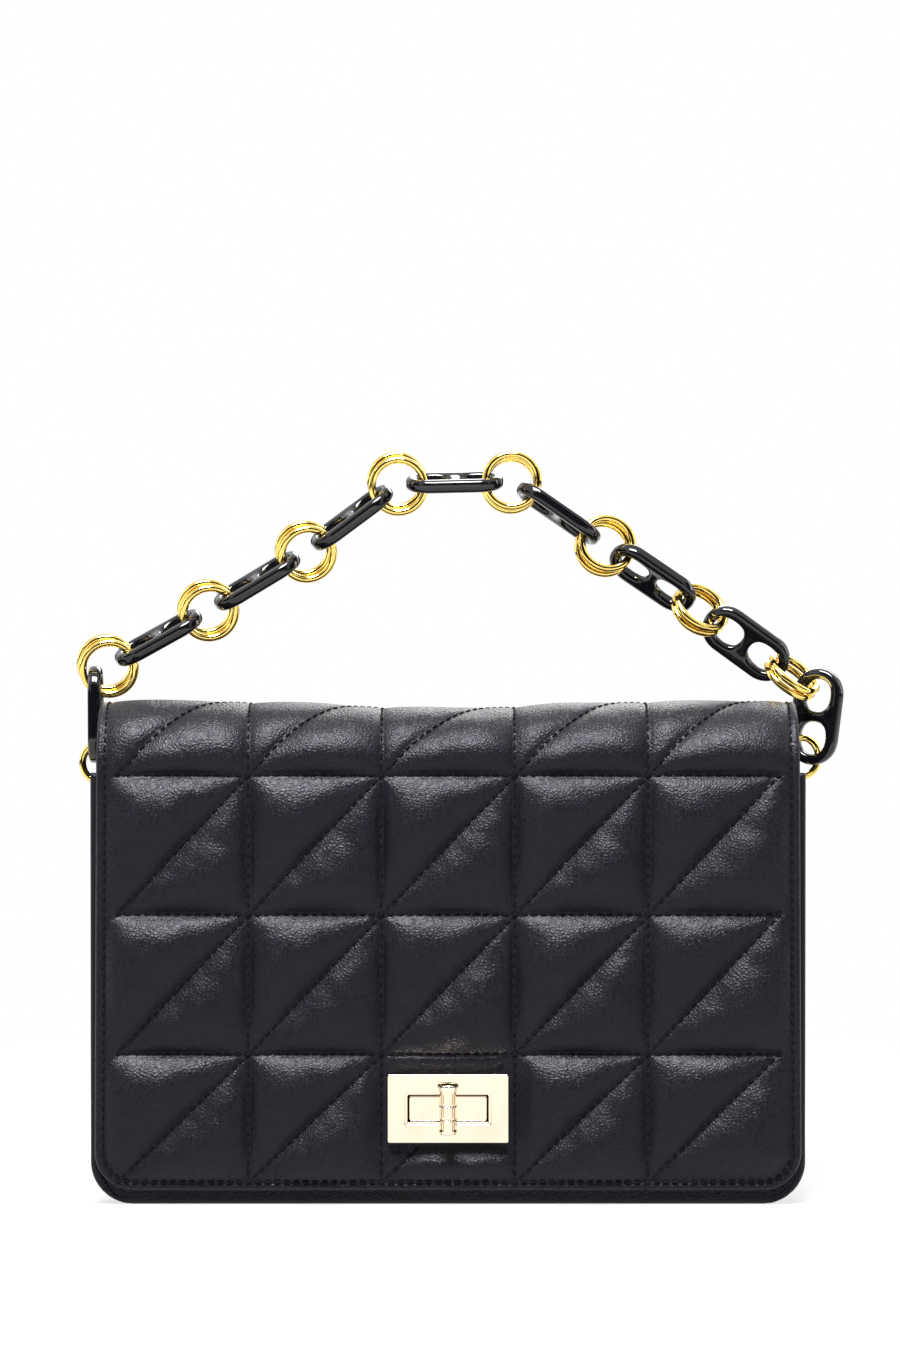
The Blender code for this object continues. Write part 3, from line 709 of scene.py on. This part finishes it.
def border_seam():
    """One seam inside the flap's edge, up both sides and round the two lower corners."""
    ways_up = np.arange(flap_corner, flap_length - border_inset, seam_step)
    radius = flap_corner - border_inset
    turns = np.linspace(0, math.pi / 2, 24)
    side = [(flap_half_at(w) - border_inset, w) for w in ways_up[::-1]]
    corner = [(flap_half_at(0.0) - flap_corner + radius * math.cos(t), flap_corner - radius * math.sin(t))
              for t in turns]
    right = side + corner
    left = [(-x, w) for x, w in reversed(right)]
    middle = [(x, border_inset) for x in np.arange(right[-1][0] - seam_step, left[0][0], -seam_step)]
    x, way = np.array(right + middle + left).T
    return flap_points(x, way, quilt_height(x, way) + stitch_lift)


flap_seams = [border_seam()]
for x in column_edges[1:-1]:
    for low, high in zip(row_edges[:-1], row_edges[1:]):
        flap_seams.append(seam_on_flap(x, low, x, high))
for level in row_edges[1:-1]:
    for start, end in zip(slant_starts, slant_ends):
        flap_seams.append(seam_on_flap(start, level, end, level))
for low, high in zip(row_edges[:-1], row_edges[1:]):
    span = cell_high if high == row_edges[-1] else high - low
    share = min(1.0, (high - low) / span)
    for start, end in zip(slant_starts, slant_ends):
        path = seam_on_flap(start, low, start + (end - start) * share, low + span * share)
        flap_seams += clear_runs(path, np.linspace(low, low + span * share, len(path)))
flap_stitches = sew("flap_stitches", flap_seams)
print("seams:", len(flap_seams), "stitch faces:", len(flap_stitches.data.polygons))

# %% The flap and its stitches take their finishes, in place of the flap's solids
finish_piece(quilted_flap, flap_leather, None, "black_leather", "flap_front", "flap_rear")
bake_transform(quilted_flap)
finish_piece(flap_stitches, thread, None, "black_leather")
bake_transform(flap_stitches)

# %% [markdown]
# Under the flap, and seen when it is open, is a facing of cloth. It follows the same line a
# little further in, puckers slightly, and stops at the crease.

# %% The facing under the flap
facing_ways = np.arange(0.0032, crease_way - 0.0004, 0.0020)
facing_shares = np.linspace(-1, 1, 90)
facing_way_grid, facing_share_grid = np.meshgrid(facing_ways, facing_shares, indexing="ij")
facing_x = facing_share_grid * (half_width(facing_way_grid) - 0.0026)
pucker = 0.00016 * flat_ripple(facing_x * 160, facing_way_grid * 90, 1.0, 9)
facing_outer = flap_points(facing_x, facing_way_grid, np.full_like(facing_x, -flap_thick - 0.0001))
facing_inner = flap_points(facing_x, facing_way_grid, -flap_thick - 0.0007 + pucker)
flap_facing = shell("flap_facing", facing_outer, facing_inner, cells_off_window(facing_x, facing_way_grid))
finish_piece(flap_facing, twill, "flap", "lining_cloth", "flap_lining")

# %% [markdown]
# The body is two upright leather panels with turned edges, joined by pleated gussets and a
# base. A panel is a grid with two round lower corners and a few soft waves, with its edge
# rolled over and a row of stitches inside it.

# %% Front and back panels
panel_half = 0.10975
panel_top = 0.1325
panel_thick = 0.0026
panel_corner = 0.013
panel_seam_step = 0.001
panel_wave = 0.00022
panel_groove = 0.0004
panel_groove_inset = 0.0034


def panel_half_width(height):
    return cornered(panel_half, panel_corner, height)


def make_panel(name, outer_y, side):
    """side is -1 where the outer face looks to the front, and 1 where it looks to the back."""
    heights = graded(panel_top, 0.0003, 0.0016, 0.0024)
    across = graded(2.0, 0.0030, 0.0150, 0.030) - 1
    z, share = np.meshgrid(heights, across, indexing="ij")
    x = share * panel_half_width(z)
    to_edge = np.minimum(panel_half_width(z) - np.abs(x), np.minimum(z, panel_top - z))
    waves = panel_wave * flat_ripple(x, z, 34, 11 + side)
    groove = panel_groove * np.exp(-((to_edge - panel_groove_inset) / 0.0006) ** 2)
    sink = rolled(to_edge, panel_thick / 2) + groove + waves * smooth_step(to_edge / 0.008)
    y = outer_y - side * sink
    back = outer_y - side * (panel_thick - rolled(to_edge, panel_thick / 2))
    outer = np.stack([x, y, z], axis=-1)
    inner = np.stack([x, back, z], axis=-1)
    return shell(name, outer, inner)


def panel_seam(outer_y, side, inset=panel_groove_inset):
    low = [(-float(panel_half_width(z) - inset), z) for z in
           np.arange(panel_top - inset, panel_corner, -panel_seam_step)]
    turns = np.linspace(0, math.pi / 2, 16)
    radius = panel_corner - inset
    corner = [(-(panel_half - panel_corner) - radius * math.cos(t), panel_corner - radius * math.sin(t))
              for t in turns]
    left = low + corner
    right = [(-x, z) for x, z in reversed(left)]
    return [(x, outer_y - side * 0.00025, z) for x, z in left + right]


front_box, back_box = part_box("front_panel"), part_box("back_panel")
front_leather = make_panel("front_leather", front_box[0].y, -1)
back_leather = make_panel("back_leather", back_box[1].y, 1)
finish_piece(front_leather, body_leather, "bag", "black_leather", "front_panel")
finish_piece(back_leather, body_leather, "bag", "black_leather", "back_panel")
panel_stitches = sew("panel_stitches", [panel_seam(front_box[0].y, -1), panel_seam(back_box[1].y, 1)],
                     thread_radius=0.00024)
finish_piece(panel_stitches, thread, "bag", "black_leather")
print("panels:", [len(p.data.polygons) for p in (front_leather, back_leather)])

# %% [markdown]
# Each gusset is a strip that folds inwards, so that the bag can spread. It runs down the side
# and round the lower corner, where the fold dies out into the base. A straight slope mixed with
# a smooth step gives the pleat its soft valley, and the strip reaches under both panels' edges.

# %% Gussets, base and keepers
gusset_top = 0.1300
gusset_edge = 0.10855
gusset_low = 0.0012
gusset_depth = 0.0115
gusset_reach = 0.0291
gusset_thick = 0.0016
gusset_softness = 0.00035
pleat_reach = 0.65
pleat_straight = 0.55
base_half = 0.0947


def gusset_path():
    """Places down the side and round the corner: X, Z, direction outwards and share of the fold."""
    heights = np.arange(gusset_top, panel_corner + gusset_low, -0.0022)
    path = [(gusset_edge, z, 1.0, 0.0, 1.0) for z in heights]
    for t in np.linspace(0, math.pi / 2, 22):
        centre_x, centre_z = gusset_edge - panel_corner, gusset_low + panel_corner
        path.append((centre_x + panel_corner * math.cos(t), centre_z - panel_corner * math.sin(t),
                     math.cos(t), -math.sin(t), 1 - t / (math.pi / 2)))
    path.append((base_half + 0.0004, gusset_low, 0.0, -1.0, 0.0))
    return np.array(path)


def make_gusset(name, side):
    path = gusset_path()
    across = np.linspace(-1, 1, 61)
    fold = np.clip((1 - np.abs(across)) / pleat_reach, 0, 1)
    fold = fold * pleat_straight + smooth_step(fold) * (1 - pleat_straight)
    places = []
    for depth in (0.0, gusset_thick):
        stand = path[:, 4:5] * gusset_depth * fold[None, :] + depth
        x = side * (path[:, 0:1] - path[:, 2:3] * stand)
        z = path[:, 1:2] - path[:, 3:4] * stand
        y = np.broadcast_to(across[None, :] * gusset_reach, x.shape)
        grid = np.stack([x, y, z], axis=-1)
        soft = ripple_at(grid, 60, 21 + side) * gusset_softness * np.sin(np.linspace(0, math.pi, 61))[None, :]
        grid[..., 0] += side * soft
        places.append(grid)
    return shell(name, places[0], places[1])


for name, side in (("gusset_left", -1), ("gusset_right", 1)):
    piece = make_gusset(name.replace("gusset", "pleated_gusset"), side)
    finish_piece(piece, body_leather, "bag", "black_leather", name)


def make_pad_sheet(name, low, high, thick, rows=24, columns=60, wave=0.0002, seed=31):
    """A thin flat sheet between two corners, lying level, with rolled edges."""
    x, y = np.meshgrid(np.linspace(low[0], high[0], columns), np.linspace(low[1], high[1], rows))
    to_edge = np.minimum(np.minimum(x - low[0], high[0] - x), np.minimum(y - low[1], high[1] - y))
    lift = wave * flat_ripple(x, y, 60, seed)
    lift = lift * smooth_step(to_edge / 0.01)
    under = low[2] + rolled(to_edge, thick / 2) + np.abs(lift)
    over = high[2] - rolled(to_edge, thick / 2)
    return shell(name, np.stack([x, y, over], axis=-1), np.stack([x, y, under], axis=-1))


base_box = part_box("base_panel")
base_leather = make_pad_sheet("base_leather", base_box[0], base_box[1], 0.0018)
finish_piece(base_leather, body_leather, "bag", "black_leather", "base_panel")


def soft_copy(name, node, cuts=2):
    """A merged copy of a small leather solid, with its edges bevelled."""
    bm = merged(nodes[node].data, 0.00002)
    bmesh.ops.dissolve_limit(bm, angle_limit=0.02, verts=bm.verts, edges=bm.edges)
    maker = new_object(name + "_maker", written(bm, bpy.data.meshes.new(name)))
    set_all(maker.modifiers.new("Edge", "BEVEL"), width=0.00025, segments=cuts, limit_method="ANGLE")
    made = settled_mesh(maker)
    made.shade_smooth()
    made.set_sharp_from_angle(angle=math.radians(40))
    return new_object(name, made)


for side in ("left", "right"):
    keeper = soft_copy(f"leather_keeper_{side}", f"ring_keeper_{side}")
    finish_piece(keeper, edge_leather, "bag", "black_leather", f"ring_keeper_{side}")

# %% [markdown]
# Inside is a pouch of twill with a slip pocket on its rear wall. A pouch is a strip that goes
# round the opening, so it is built like a cup: a loop of points, repeated down to the foot and
# drawn in there to the middle.

# %% Lining pouch and pocket
pouch_corner = 0.010
pouch_foot = 0.013
pouch_wall = 0.0008
pouch_step = 0.004
pouch_softness = 0.00018
foot_draw = 0.14
pocket_slack = 0.0006


def rounded_box(width, height, radius, steps=6):
    """A closed outline with round corners."""
    points = []
    for side_x, side_y, start in ((1, 1, 0.0), (-1, 1, 0.5), (-1, -1, 1.0), (1, -1, 1.5)):
        for step in range(steps + 1):
            turn = (start + 0.5 * step / steps) * math.pi
            points.append((side_x * (width / 2 - radius) + radius * math.cos(turn),
                           side_y * (height / 2 - radius) + radius * math.sin(turn), 0))
    return points


def make_pouch(name, node, wall):
    low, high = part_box(node)
    middle = np.array([0.0, (low.y + high.y) / 2])
    loop = np.array(rounded_box(2 * high.x, high.y - low.y, pouch_corner, 7))[:, :2] + middle
    fine = []
    for a, b in zip(loop, np.roll(loop, -1, axis=0)):
        steps = max(1, int(math.dist(a, b) / pouch_step))
        fine += [a + (b - a) * i / steps for i in range(steps)]
    ring = np.array(fine + fine[:1])
    levels = [(z, 1.0) for z in np.linspace(high.z, low.z + pouch_foot, 34)]
    levels += [(low.z + pouch_foot * (1 - math.sin(t)), 1 - (1 - math.cos(t)) * foot_draw) for t in
               np.linspace(0.1, math.pi / 2, 10)]
    levels += [(low.z, s) for s in (0.7, 0.45, 0.2, 0.02)]
    sheets = []
    for depth in (0.0, wall):
        rows = []
        for z, share in levels:
            inward = middle - ring
            inward = inward / np.linalg.norm(inward, axis=1)[:, None]
            flat = middle + (ring - middle) * share + inward * depth * (share > 0.5)
            soft = noise.noise(Vector((0, 0, z * 30))) * pouch_softness
            rows.append(np.column_stack([flat[:, 0], flat[:, 1] + soft,
                                         np.full(len(ring), z + (depth if share < 0.9 else 0.0))]))
        sheets.append(np.array(rows))
    return shell(name, sheets[0], sheets[1])


pouch = make_pouch("lining_pouch", "lining", pouch_wall)
finish_piece(pouch, twill, "bag", "lining_cloth", "lining")
pocket_low, pocket_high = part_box("slip_pocket")
pocket_x, pocket_z = np.meshgrid(np.linspace(pocket_low.x, pocket_high.x, 60),
                                 np.linspace(pocket_low.z, pocket_high.z, 34))
pocket_gape = pocket_slack * smooth_step((pocket_z - pocket_low.z) / (pocket_high.z - pocket_low.z))
pocket_gape = pocket_gape * np.cos(pocket_x / (pocket_high.x + 0.004) * math.pi / 2)
pocket_front = pocket_low.y - pocket_gape
pocket = shell("lining_pocket", np.stack([pocket_x, pocket_front, pocket_z], axis=-1),
               np.stack([pocket_x, pocket_front + pouch_wall, pocket_z], axis=-1))
finish_piece(pocket, twill, "bag", "lining_cloth", "slip_pocket")
refinish(nodes["base_board"], board)

# %% [markdown]
# The chain's rings and links stay exactly where the solids are. The points of a solid tell its
# middle and its three main directions, longest first, so each fine ring or link is built flat
# once and then turned into that place.

# %% Where a ring or a link lies
def lie_of(node):
    """Middle and main directions of a solid, the longest first."""
    bm = merged(nodes[node].data, 0.00002)
    points = np.array([v.co for v in bm.verts])
    bm.free()
    centre = points.mean(axis=0)
    directions = np.linalg.svd(points - centre)[2]
    if np.linalg.det(directions) < 0:
        directions[2] *= -1
    reaches = (points - centre) @ directions.T
    middle = centre + directions.T @ ((reaches.max(axis=0) + reaches.min(axis=0)) / 2)
    sizes = reaches.max(axis=0) - reaches.min(axis=0)
    place = Matrix.Identity(4)
    for column in range(3):
        for row in range(3):
            place[row][column] = directions[column][row]
        place[column][3] = middle[column]
    return place, sizes


def fine_ring(name, radius, wire, turns=96, sides=24):
    points, faces = [], []
    for i in range(turns):
        a = 2 * math.pi * i / turns
        for j in range(sides):
            b = 2 * math.pi * j / sides
            reach = radius + wire * math.cos(b)
            points.append((reach * math.cos(a), reach * math.sin(a), wire * math.sin(b)))
            faces.append((i * sides + j, (i + 1) % turns * sides + j,
                          (i + 1) % turns * sides + (j + 1) % sides, i * sides + (j + 1) % sides))
    return new_mesh(name, points, faces)


def place_copy(name, mesh, node, finish, body, slot):
    made = mesh.copy()
    made.name = name
    made.transform(lie_of(node)[0])
    return finish_piece(new_object(name, made), finish, body, slot, node)


chain_ring_radius, chain_ring_wire = 0.0082, 0.00115
side_ring_radius, side_ring_wire = 0.0060, 0.0011
chain_ring = fine_ring("chain_ring", chain_ring_radius, chain_ring_wire)
side_ring = fine_ring("side_ring", side_ring_radius, side_ring_wire)
for number in range(1, 9):
    for word in ("front", "rear"):
        place_copy(f"gold_ring_{number}_{word}", chain_ring, f"ring_{number}_{word}", ring_gold,
                   "handle", "gold_plate")
for word in ("left", "right"):
    place_copy(f"gold_side_ring_{word}", side_ring, f"side_ring_{word}", ring_gold, "handle", "gold_plate")
print("ring sizes:", lie_of("ring_1_front")[1].round(4), "link sizes:", lie_of("link_1")[1].round(4))

# %% [markdown]
# A link is moulded resin: a rounded rail round two oval eyes, with a lower web between them. A
# flat curve with holes gives the outline and a rounded edge, and a fine voxel remesh then turns
# it into one even skin whose web can be pressed in.

# %% The resin link
link_long = 0.0304
link_wide = 0.0160
link_thick = 0.0042
eye_long = 0.0102
eye_wide = 0.0086
eye_web = 0.0032
eye_power = 0.85
rail_round = 0.0015
rail_start = 0.0030
rail_width = 0.0032
web_press = 0.26
web_reach = 0.0040
skin_voxel = 0.00036


def oval(length, width, power, steps, middle):
    """A closed outline between an ellipse and a rectangle."""
    points = []
    for step in range(steps):
        turn = 2 * math.pi * step / steps
        c, s = math.cos(turn), math.sin(turn)
        points.append((middle + length / 2 * math.copysign(abs(c) ** power, c),
                       width / 2 * math.copysign(abs(s) ** power, s), 0))
    return points


def stadium(length, width, steps):
    points = []
    run = (length - width) / 2
    for start in (-0.5, 0.5):
        for step in range(steps + 1):
            turn = math.pi * (start + step / steps)
            points.append((math.copysign(run, math.cos((start + 0.5) * math.pi)) + width / 2 * math.cos(turn),
                           width / 2 * math.sin(turn), 0))
    return points


def flat_shape(name, outlines, thick, edge, roundness):
    """A level slab with holes, from closed outlines. Its edges are rounded by edge."""
    curve = set_all(bpy.data.curves.new(name, "CURVE"), dimensions="2D", fill_mode="BOTH",
                    extrude=thick / 2 - edge, bevel_depth=edge, bevel_resolution=roundness, offset=-edge)
    for points in outlines:
        spline = curve.splines.new("POLY")
        spline.points.add(len(points) - 1)
        spline.use_cyclic_u = True
        for point, place in zip(spline.points, points):
            point.co = (*place, 1)
    return settled_mesh(new_object(name + "_maker", curve))


def make_link():
    eye_middle = (eye_web + eye_long) / 2
    outlines = [stadium(link_long, link_wide, 30)]
    outlines += [oval(eye_long, eye_wide, eye_power, 44, side * eye_middle) for side in (-1, 1)]
    mesh = flat_shape("link_outline", outlines, link_thick, rail_round, 5)
    maker = new_object("link_maker", written(merged(mesh, 0.00001), mesh))
    set_all(maker.modifiers.new("Skin", "REMESH"), mode="VOXEL", voxel_size=skin_voxel)
    set_all(maker.modifiers.new("Soften", "SMOOTH"), factor=0.5, iterations=4)
    made = settled_mesh(maker)
    for vertex in made.vertices:
        x, y, z = vertex.co
        rail = smooth_step(np.array((abs(y) - rail_start) / rail_width))
        press = web_press * (1 - float(rail)) * math.exp(-(x / web_reach) ** 4)
        vertex.co.z = z * (1 - press)
    made.shade_smooth()
    return made


resin_link = make_link()
print("link faces:", len(resin_link.polygons))
for number in range(1, 10):
    body = "handle" if number in (1, 9) else f"chain_link_{number}"
    place_copy(f"resin_link_{number}", resin_link, f"link_{number}", link_resin, body, "black_resin")

# %% [markdown]
# The turn lock: a plate with a stepped window on the flap, a block behind it on the body, and a
# knob that turns on a stem through both. The plate is a flat curve with a hole, so its edge and
# its window get the same small round. The knob is lofted: one rounded section, whose size
# changes along the bar for its flared ends and its two grooves. Short sharp lines are scored
# along its front, which catch the light as the folds of a bright metal do.

# %% Lock plate, lip and block
lock_z = 0.0301


def plate(name, outlines, y_front, y_back, edge, z_middle=lock_z):
    """A plate that faces the front, from closed outlines in X and Z."""
    mesh = flat_shape(name, outlines, y_back - y_front, edge, 3)
    mesh.transform(Matrix.Translation((0, (y_front + y_back) / 2, z_middle))
                   @ Matrix.Rotation(math.pi / 2, 4, "X"))
    bm = merged(mesh, 0.00001)
    bmesh.ops.recalc_face_normals(bm, faces=bm.faces)
    written(bm, mesh).name = name
    mesh.shade_smooth()
    mesh.set_sharp_from_angle(angle=math.radians(35))
    piece = new_object(name, mesh)
    set_all(piece.modifiers.new("Flat faces", "WEIGHTED_NORMAL"), weight=100, keep_sharp=True)
    return piece


frame_low, frame_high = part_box("lock_frame")
back_low, back_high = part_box("lock_frame_back")
block_low, block_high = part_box("lock_block")
window = rounded_box(0.0262, 0.0098, 0.0007)
frame_plate = plate("lock_plate", [rounded_box(0.0370, 0.0210, 0.0006), window],
                    frame_low.y, frame_high.y, 0.00035)
finish_piece(frame_plate, lock_gold, "flap", "pale_gold_plate", "lock_frame")
lip = plate("lock_lip", [rounded_box(0.0264, 0.0100, 0.0007), rounded_box(0.0248, 0.0084, 0.0006)],
            frame_low.y + 0.0009, frame_high.y + 0.0004, 0.00015)
finish_piece(lip, lock_gold, "flap", "pale_gold_plate")
back_plate = plate("lock_back_plate", [rounded_box(0.0340, 0.0180, 0.0012), window],
                   back_low.y, back_high.y, 0.0002)
finish_piece(back_plate, lock_gold, "flap", "pale_gold_plate", "lock_frame_back")
block = plate("lock_post", [rounded_box(0.0238, 0.0078, 0.0008)], block_low.y, block_high.y, 0.0004)
finish_piece(block, lock_gold, "bag", "pale_gold_plate", "lock_block")
for node in ("lock_clinch_plate", "lock_washer"):
    refinish(nodes[node], lock_gold)

# %% The knob
knob_low, knob_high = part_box("lock_knob")
knob_long = 0.0156
knob_half = 0.0031
knob_deep = 0.0052
stem_radius = 0.0016
stem_overlap = 0.001
bar_wide, bar_deep = 0.89, 0.96
head_place, head_reach, head_flare = 0.94, 0.055, 0.17
foot_place, foot_reach, foot_flare = 0.05, 0.06, 0.07
end_power = 60
groove_places = (0.304, 0.580)
groove_reach = 0.012
groove_pinch, groove_dip = 0.07, 0.08
score_middles = (0.165, 0.442, 0.71)
score_reach = 0.10
score_place = 0.50
score_width = 0.055
score_depth = 0.0005
corner_power = 0.8
front_power = 0.65


def knob_sizes(share):
    """Half width and depth of the bar at a share of its length, from foot to head."""
    head = math.exp(-((share - head_place) / head_reach) ** 2)
    foot = math.exp(-((share - foot_place) / foot_reach) ** 2)
    grooves = sum(math.exp(-((share - place) / groove_reach) ** 2) for place in groove_places)
    end = max(0.02, math.sqrt(max(0.0, 1 - (abs(share - 0.5) * 2) ** end_power)))
    width = (bar_wide + head_flare * head + foot_flare * foot - groove_pinch * grooves) * end
    depth = (bar_deep - groove_dip * grooves) * end
    return knob_half * width, knob_deep * depth


def knob_score(share, across):
    """How deep the bar is scored there: two rows of short sharp lines along its front."""
    reach = min(abs(share - middle) for middle in score_middles)
    run = 1.0 if reach < score_reach else 0.0
    return score_depth * run * max(0.0, 1 - abs(abs(across) - score_place) / score_width)


def knob_turns():
    """Directions round the bar, with three on each scored line: its two edges and its floor."""
    lines = [math.acos(side * (score_place + step * score_width) ** (1 / corner_power))
             for side in (1, -1) for step in (1, 0, -1)]
    even = [t for t in np.linspace(0, 2 * math.pi, 64, endpoint=False)
            if min(abs(t - line) for line in lines) > 0.03]
    return sorted(even + lines)


def make_knob():
    back = knob_low.y + knob_deep
    turns = knob_turns()
    sides = len(turns)
    rows = []
    places = np.unique(np.concatenate([np.linspace(0, 1, 90), np.linspace(0, 0.03, 10),
                                       np.linspace(0.97, 1, 10)]))
    for share in places:
        half, deep = knob_sizes(float(share))
        row = []
        for turn in turns:
            c, s = math.cos(turn), math.sin(turn)
            out = math.copysign(abs(s) ** front_power, s)
            across = math.copysign(abs(c) ** corner_power, c)
            y = back - deep * out + knob_score(float(share), across) if s >= 0 else back - 0.0002 * out
            row.append((half * across, y, lock_z + knob_long * (share - 0.5)))
        rows.append(row)
    bm = bmesh.new()
    rings = [[bm.verts.new(p) for p in row] for row in rows]
    for low, high in zip(rings, rings[1:]):
        for i in range(sides):
            j = (i + 1) % sides
            bm.faces.new((low[i], low[j], high[j], high[i]))
    bm.faces.new(rings[0][::-1])
    bm.faces.new(rings[-1])
    stem_front, stem_back = back - stem_overlap, knob_high.y
    made = bmesh.ops.create_cone(bm, cap_ends=True, segments=32, radius1=stem_radius, radius2=stem_radius,
                                 depth=stem_back - stem_front)
    bmesh.ops.rotate(bm, verts=made["verts"], cent=(0, 0, 0), matrix=Matrix.Rotation(math.pi / 2, 3, "X"))
    bmesh.ops.translate(bm, verts=made["verts"], vec=(0, (stem_front + stem_back) / 2, lock_z))
    bmesh.ops.recalc_face_normals(bm, faces=bm.faces)
    mesh = written(bm, bpy.data.meshes.new("turn_knob"))
    mesh.shade_smooth()
    mesh.set_sharp_from_angle(angle=math.radians(50))
    return new_object("turn_knob", mesh)


knob = make_knob()
finish_piece(knob, lock_gold, "knob", "pale_gold_plate", "lock_knob")

# %% [markdown]
# The stage: a pale floor that keeps the bag's shadow, a white world behind it, and large soft
# lamps at a plain level. White comes from what camera and glossy rays see, and not from more
# light on the bag.

# %% Floor and world
def seen_by_eyes(tree):
    """Is 1 for rays from the camera and from glossy surfaces, and 0 for any other light."""
    path = add_node(tree, "ShaderNodeLightPath")
    seen = add_node(tree, "ShaderNodeMath", operation="ADD", use_clamp=True)
    tree.links.new(path.outputs["Is Camera Ray"], seen.inputs[0])
    tree.links.new(path.outputs["Is Glossy Ray"], seen.inputs[1])
    return seen.outputs["Value"]


floor_mesh = new_mesh("studio_floor", [(-6, -6, 0), (6, -6, 0), (6, 6, 0), (-6, 6, 0)], [(0, 1, 2, 3)])
floor = new_object("studio_floor", floor_mesh)
floor_finish, floor_tree, floor_shader = new_finish("studio_floor", (0.93, 0.93, 0.93), 0.9)
glow = add_node(floor_tree, "ShaderNodeEmission", Strength=1.0)
mix = add_node(floor_tree, "ShaderNodeMixShader")
floor_place = add_node(floor_tree, "ShaderNodeTexCoord")
floor_reach = add_node(floor_tree, "ShaderNodeVectorMath", operation="LENGTH")
floor_tree.links.new(floor_place.outputs["Object"], floor_reach.inputs[0])
path = add_node(floor_tree, "ShaderNodeLightPath")


def white_share(near, far, at_near, at_far, ray):
    """A share of plain white that changes with the distance on the floor, for one kind of ray."""
    fade = add_node(floor_tree, "ShaderNodeMapRange", From_Min=near, From_Max=far, To_Min=at_near,
                    To_Max=at_far)
    floor_tree.links.new(floor_reach.outputs["Value"], fade.inputs["Value"])
    share = add_node(floor_tree, "ShaderNodeMath", operation="MULTIPLY")
    floor_tree.links.new(fade.outputs["Result"], share.inputs[0])
    floor_tree.links.new(path.outputs[ray], share.inputs[1])
    return share


both_shares = add_node(floor_tree, "ShaderNodeMath", operation="ADD", use_clamp=True)
for socket, share in enumerate((white_share(0.16, 0.55, 0.72, 1.0, "Is Camera Ray"),
                                white_share(0.45, 0.85, 0.9, 0.15, "Is Glossy Ray"))):
    floor_tree.links.new(share.outputs["Value"], both_shares.inputs[socket])
floor_tree.links.new(both_shares.outputs["Value"], mix.inputs["Fac"])
floor_tree.links.new(floor_shader.outputs["BSDF"], mix.inputs[1])
floor_tree.links.new(glow.outputs["Emission"], mix.inputs[2])
floor_tree.links.new(mix.outputs["Shader"], floor_tree.nodes["Material Output"].inputs["Surface"])
floor_mesh.materials.append(floor_finish)

world_light = 0.07
world = bpy.data.worlds.new("studio")
bpy.context.scene.world = world
world.use_nodes = True
world_tree = world.node_tree
backdrop = world_tree.nodes["Background"]
level = spread(world_tree, seen_by_eyes(world_tree), world_light, 1.0)
backdrop.inputs["Color"].default_value = (1, 1, 1, 1)
world_tree.links.new(level, backdrop.inputs["Strength"])

# %% [markdown]
# Black leather and polished metal need something dark to reflect, or they turn grey and flat.
# A photographer stands black cards around them. These are hidden from the camera, so no view
# shows them, and the bag's top still reflects the white studio.

# %% Black cards
def add_card(name, corners):
    mesh = new_mesh(name, corners, [(0, 1, 2, 3)])
    mesh.materials.append(card_finish)
    set_all(new_object(name, mesh), visible_camera=False, visible_shadow=False)


card_finish = new_finish("black_card", (0.01, 0.01, 0.01), 1.0)[0]
add_card("front_card", [(-2.4, -2.4, 0.02), (2.4, -2.4, 0.02), (2.4, -2.4, 2.2), (-2.4, -2.4, 2.2)])
for word, side in (("left", -1), ("right", 1)):
    add_card(word + "_card", [(side * 2.4, -2.4, 0.02), (side * 2.4, 0.4, 0.02), (side * 2.4, 0.4, 1.6),
                              (side * 2.4, -2.4, 1.6)])
add_card("back_card", [(-1.6, 2.4, 0.02), (1.6, 2.4, 0.02), (1.6, 2.4, 0.9), (-1.6, 2.4, 0.9)])

# %% Lamps
lamp_aim = Vector((0, 0, 0.10))


def add_lamp(name, place, power, wide, high):
    lamp = set_all(bpy.data.lights.new(name, "AREA"), shape="RECTANGLE", size=wide, size_y=high, energy=power)
    item = new_object(name, lamp)
    item.location = place
    item.rotation_euler = (lamp_aim - Vector(place)).to_track_quat("-Z", "Y").to_euler()


add_lamp("top_lamp", (-0.10, -0.50, 1.08), 35.0, 0.6, 0.45)
add_lamp("left_lamp", (-1.0, -0.9, 0.55), 1.0, 0.4, 0.8)
add_lamp("right_lamp", (1.1, -0.8, 0.6), 0.8, 0.4, 0.8)
add_lamp("left_side_lamp", (-1.3, 0.25, 0.6), 4.0, 0.4, 0.8)
add_lamp("right_side_lamp", (1.3, 0.25, 0.6), 4.0, 0.4, 0.8)
add_lamp("rear_lamp", (0.3, 1.0, 0.8), 9.0, 0.9, 0.5)

# %% [markdown]
# The camera stands straight in front, slightly above the middle, and far enough away to keep
# the sides parallel. The picture is 900 by 1350, and 720 of its pixels are the bag's 0.22 m.

# %% Camera
picture_high = 0.4126
camera_far = 1.6
camera_rise = 0.035
look_at = Vector((0.0006, -0.036, 0.1626))
lens = set_all(bpy.data.cameras.new("camera"), sensor_fit="VERTICAL", sensor_height=24.0)
camera = new_object("camera", lens)
camera.location = look_at + Vector((0, -camera_far, camera_rise))
direction = look_at - camera.location
camera.rotation_euler = direction.to_track_quat("-Z", "Y").to_euler()
lens.lens = lens.sensor_height / (picture_high / direction.length)
bpy.context.scene.camera = camera
bpy.context.scene.view_settings.view_transform = "Standard"
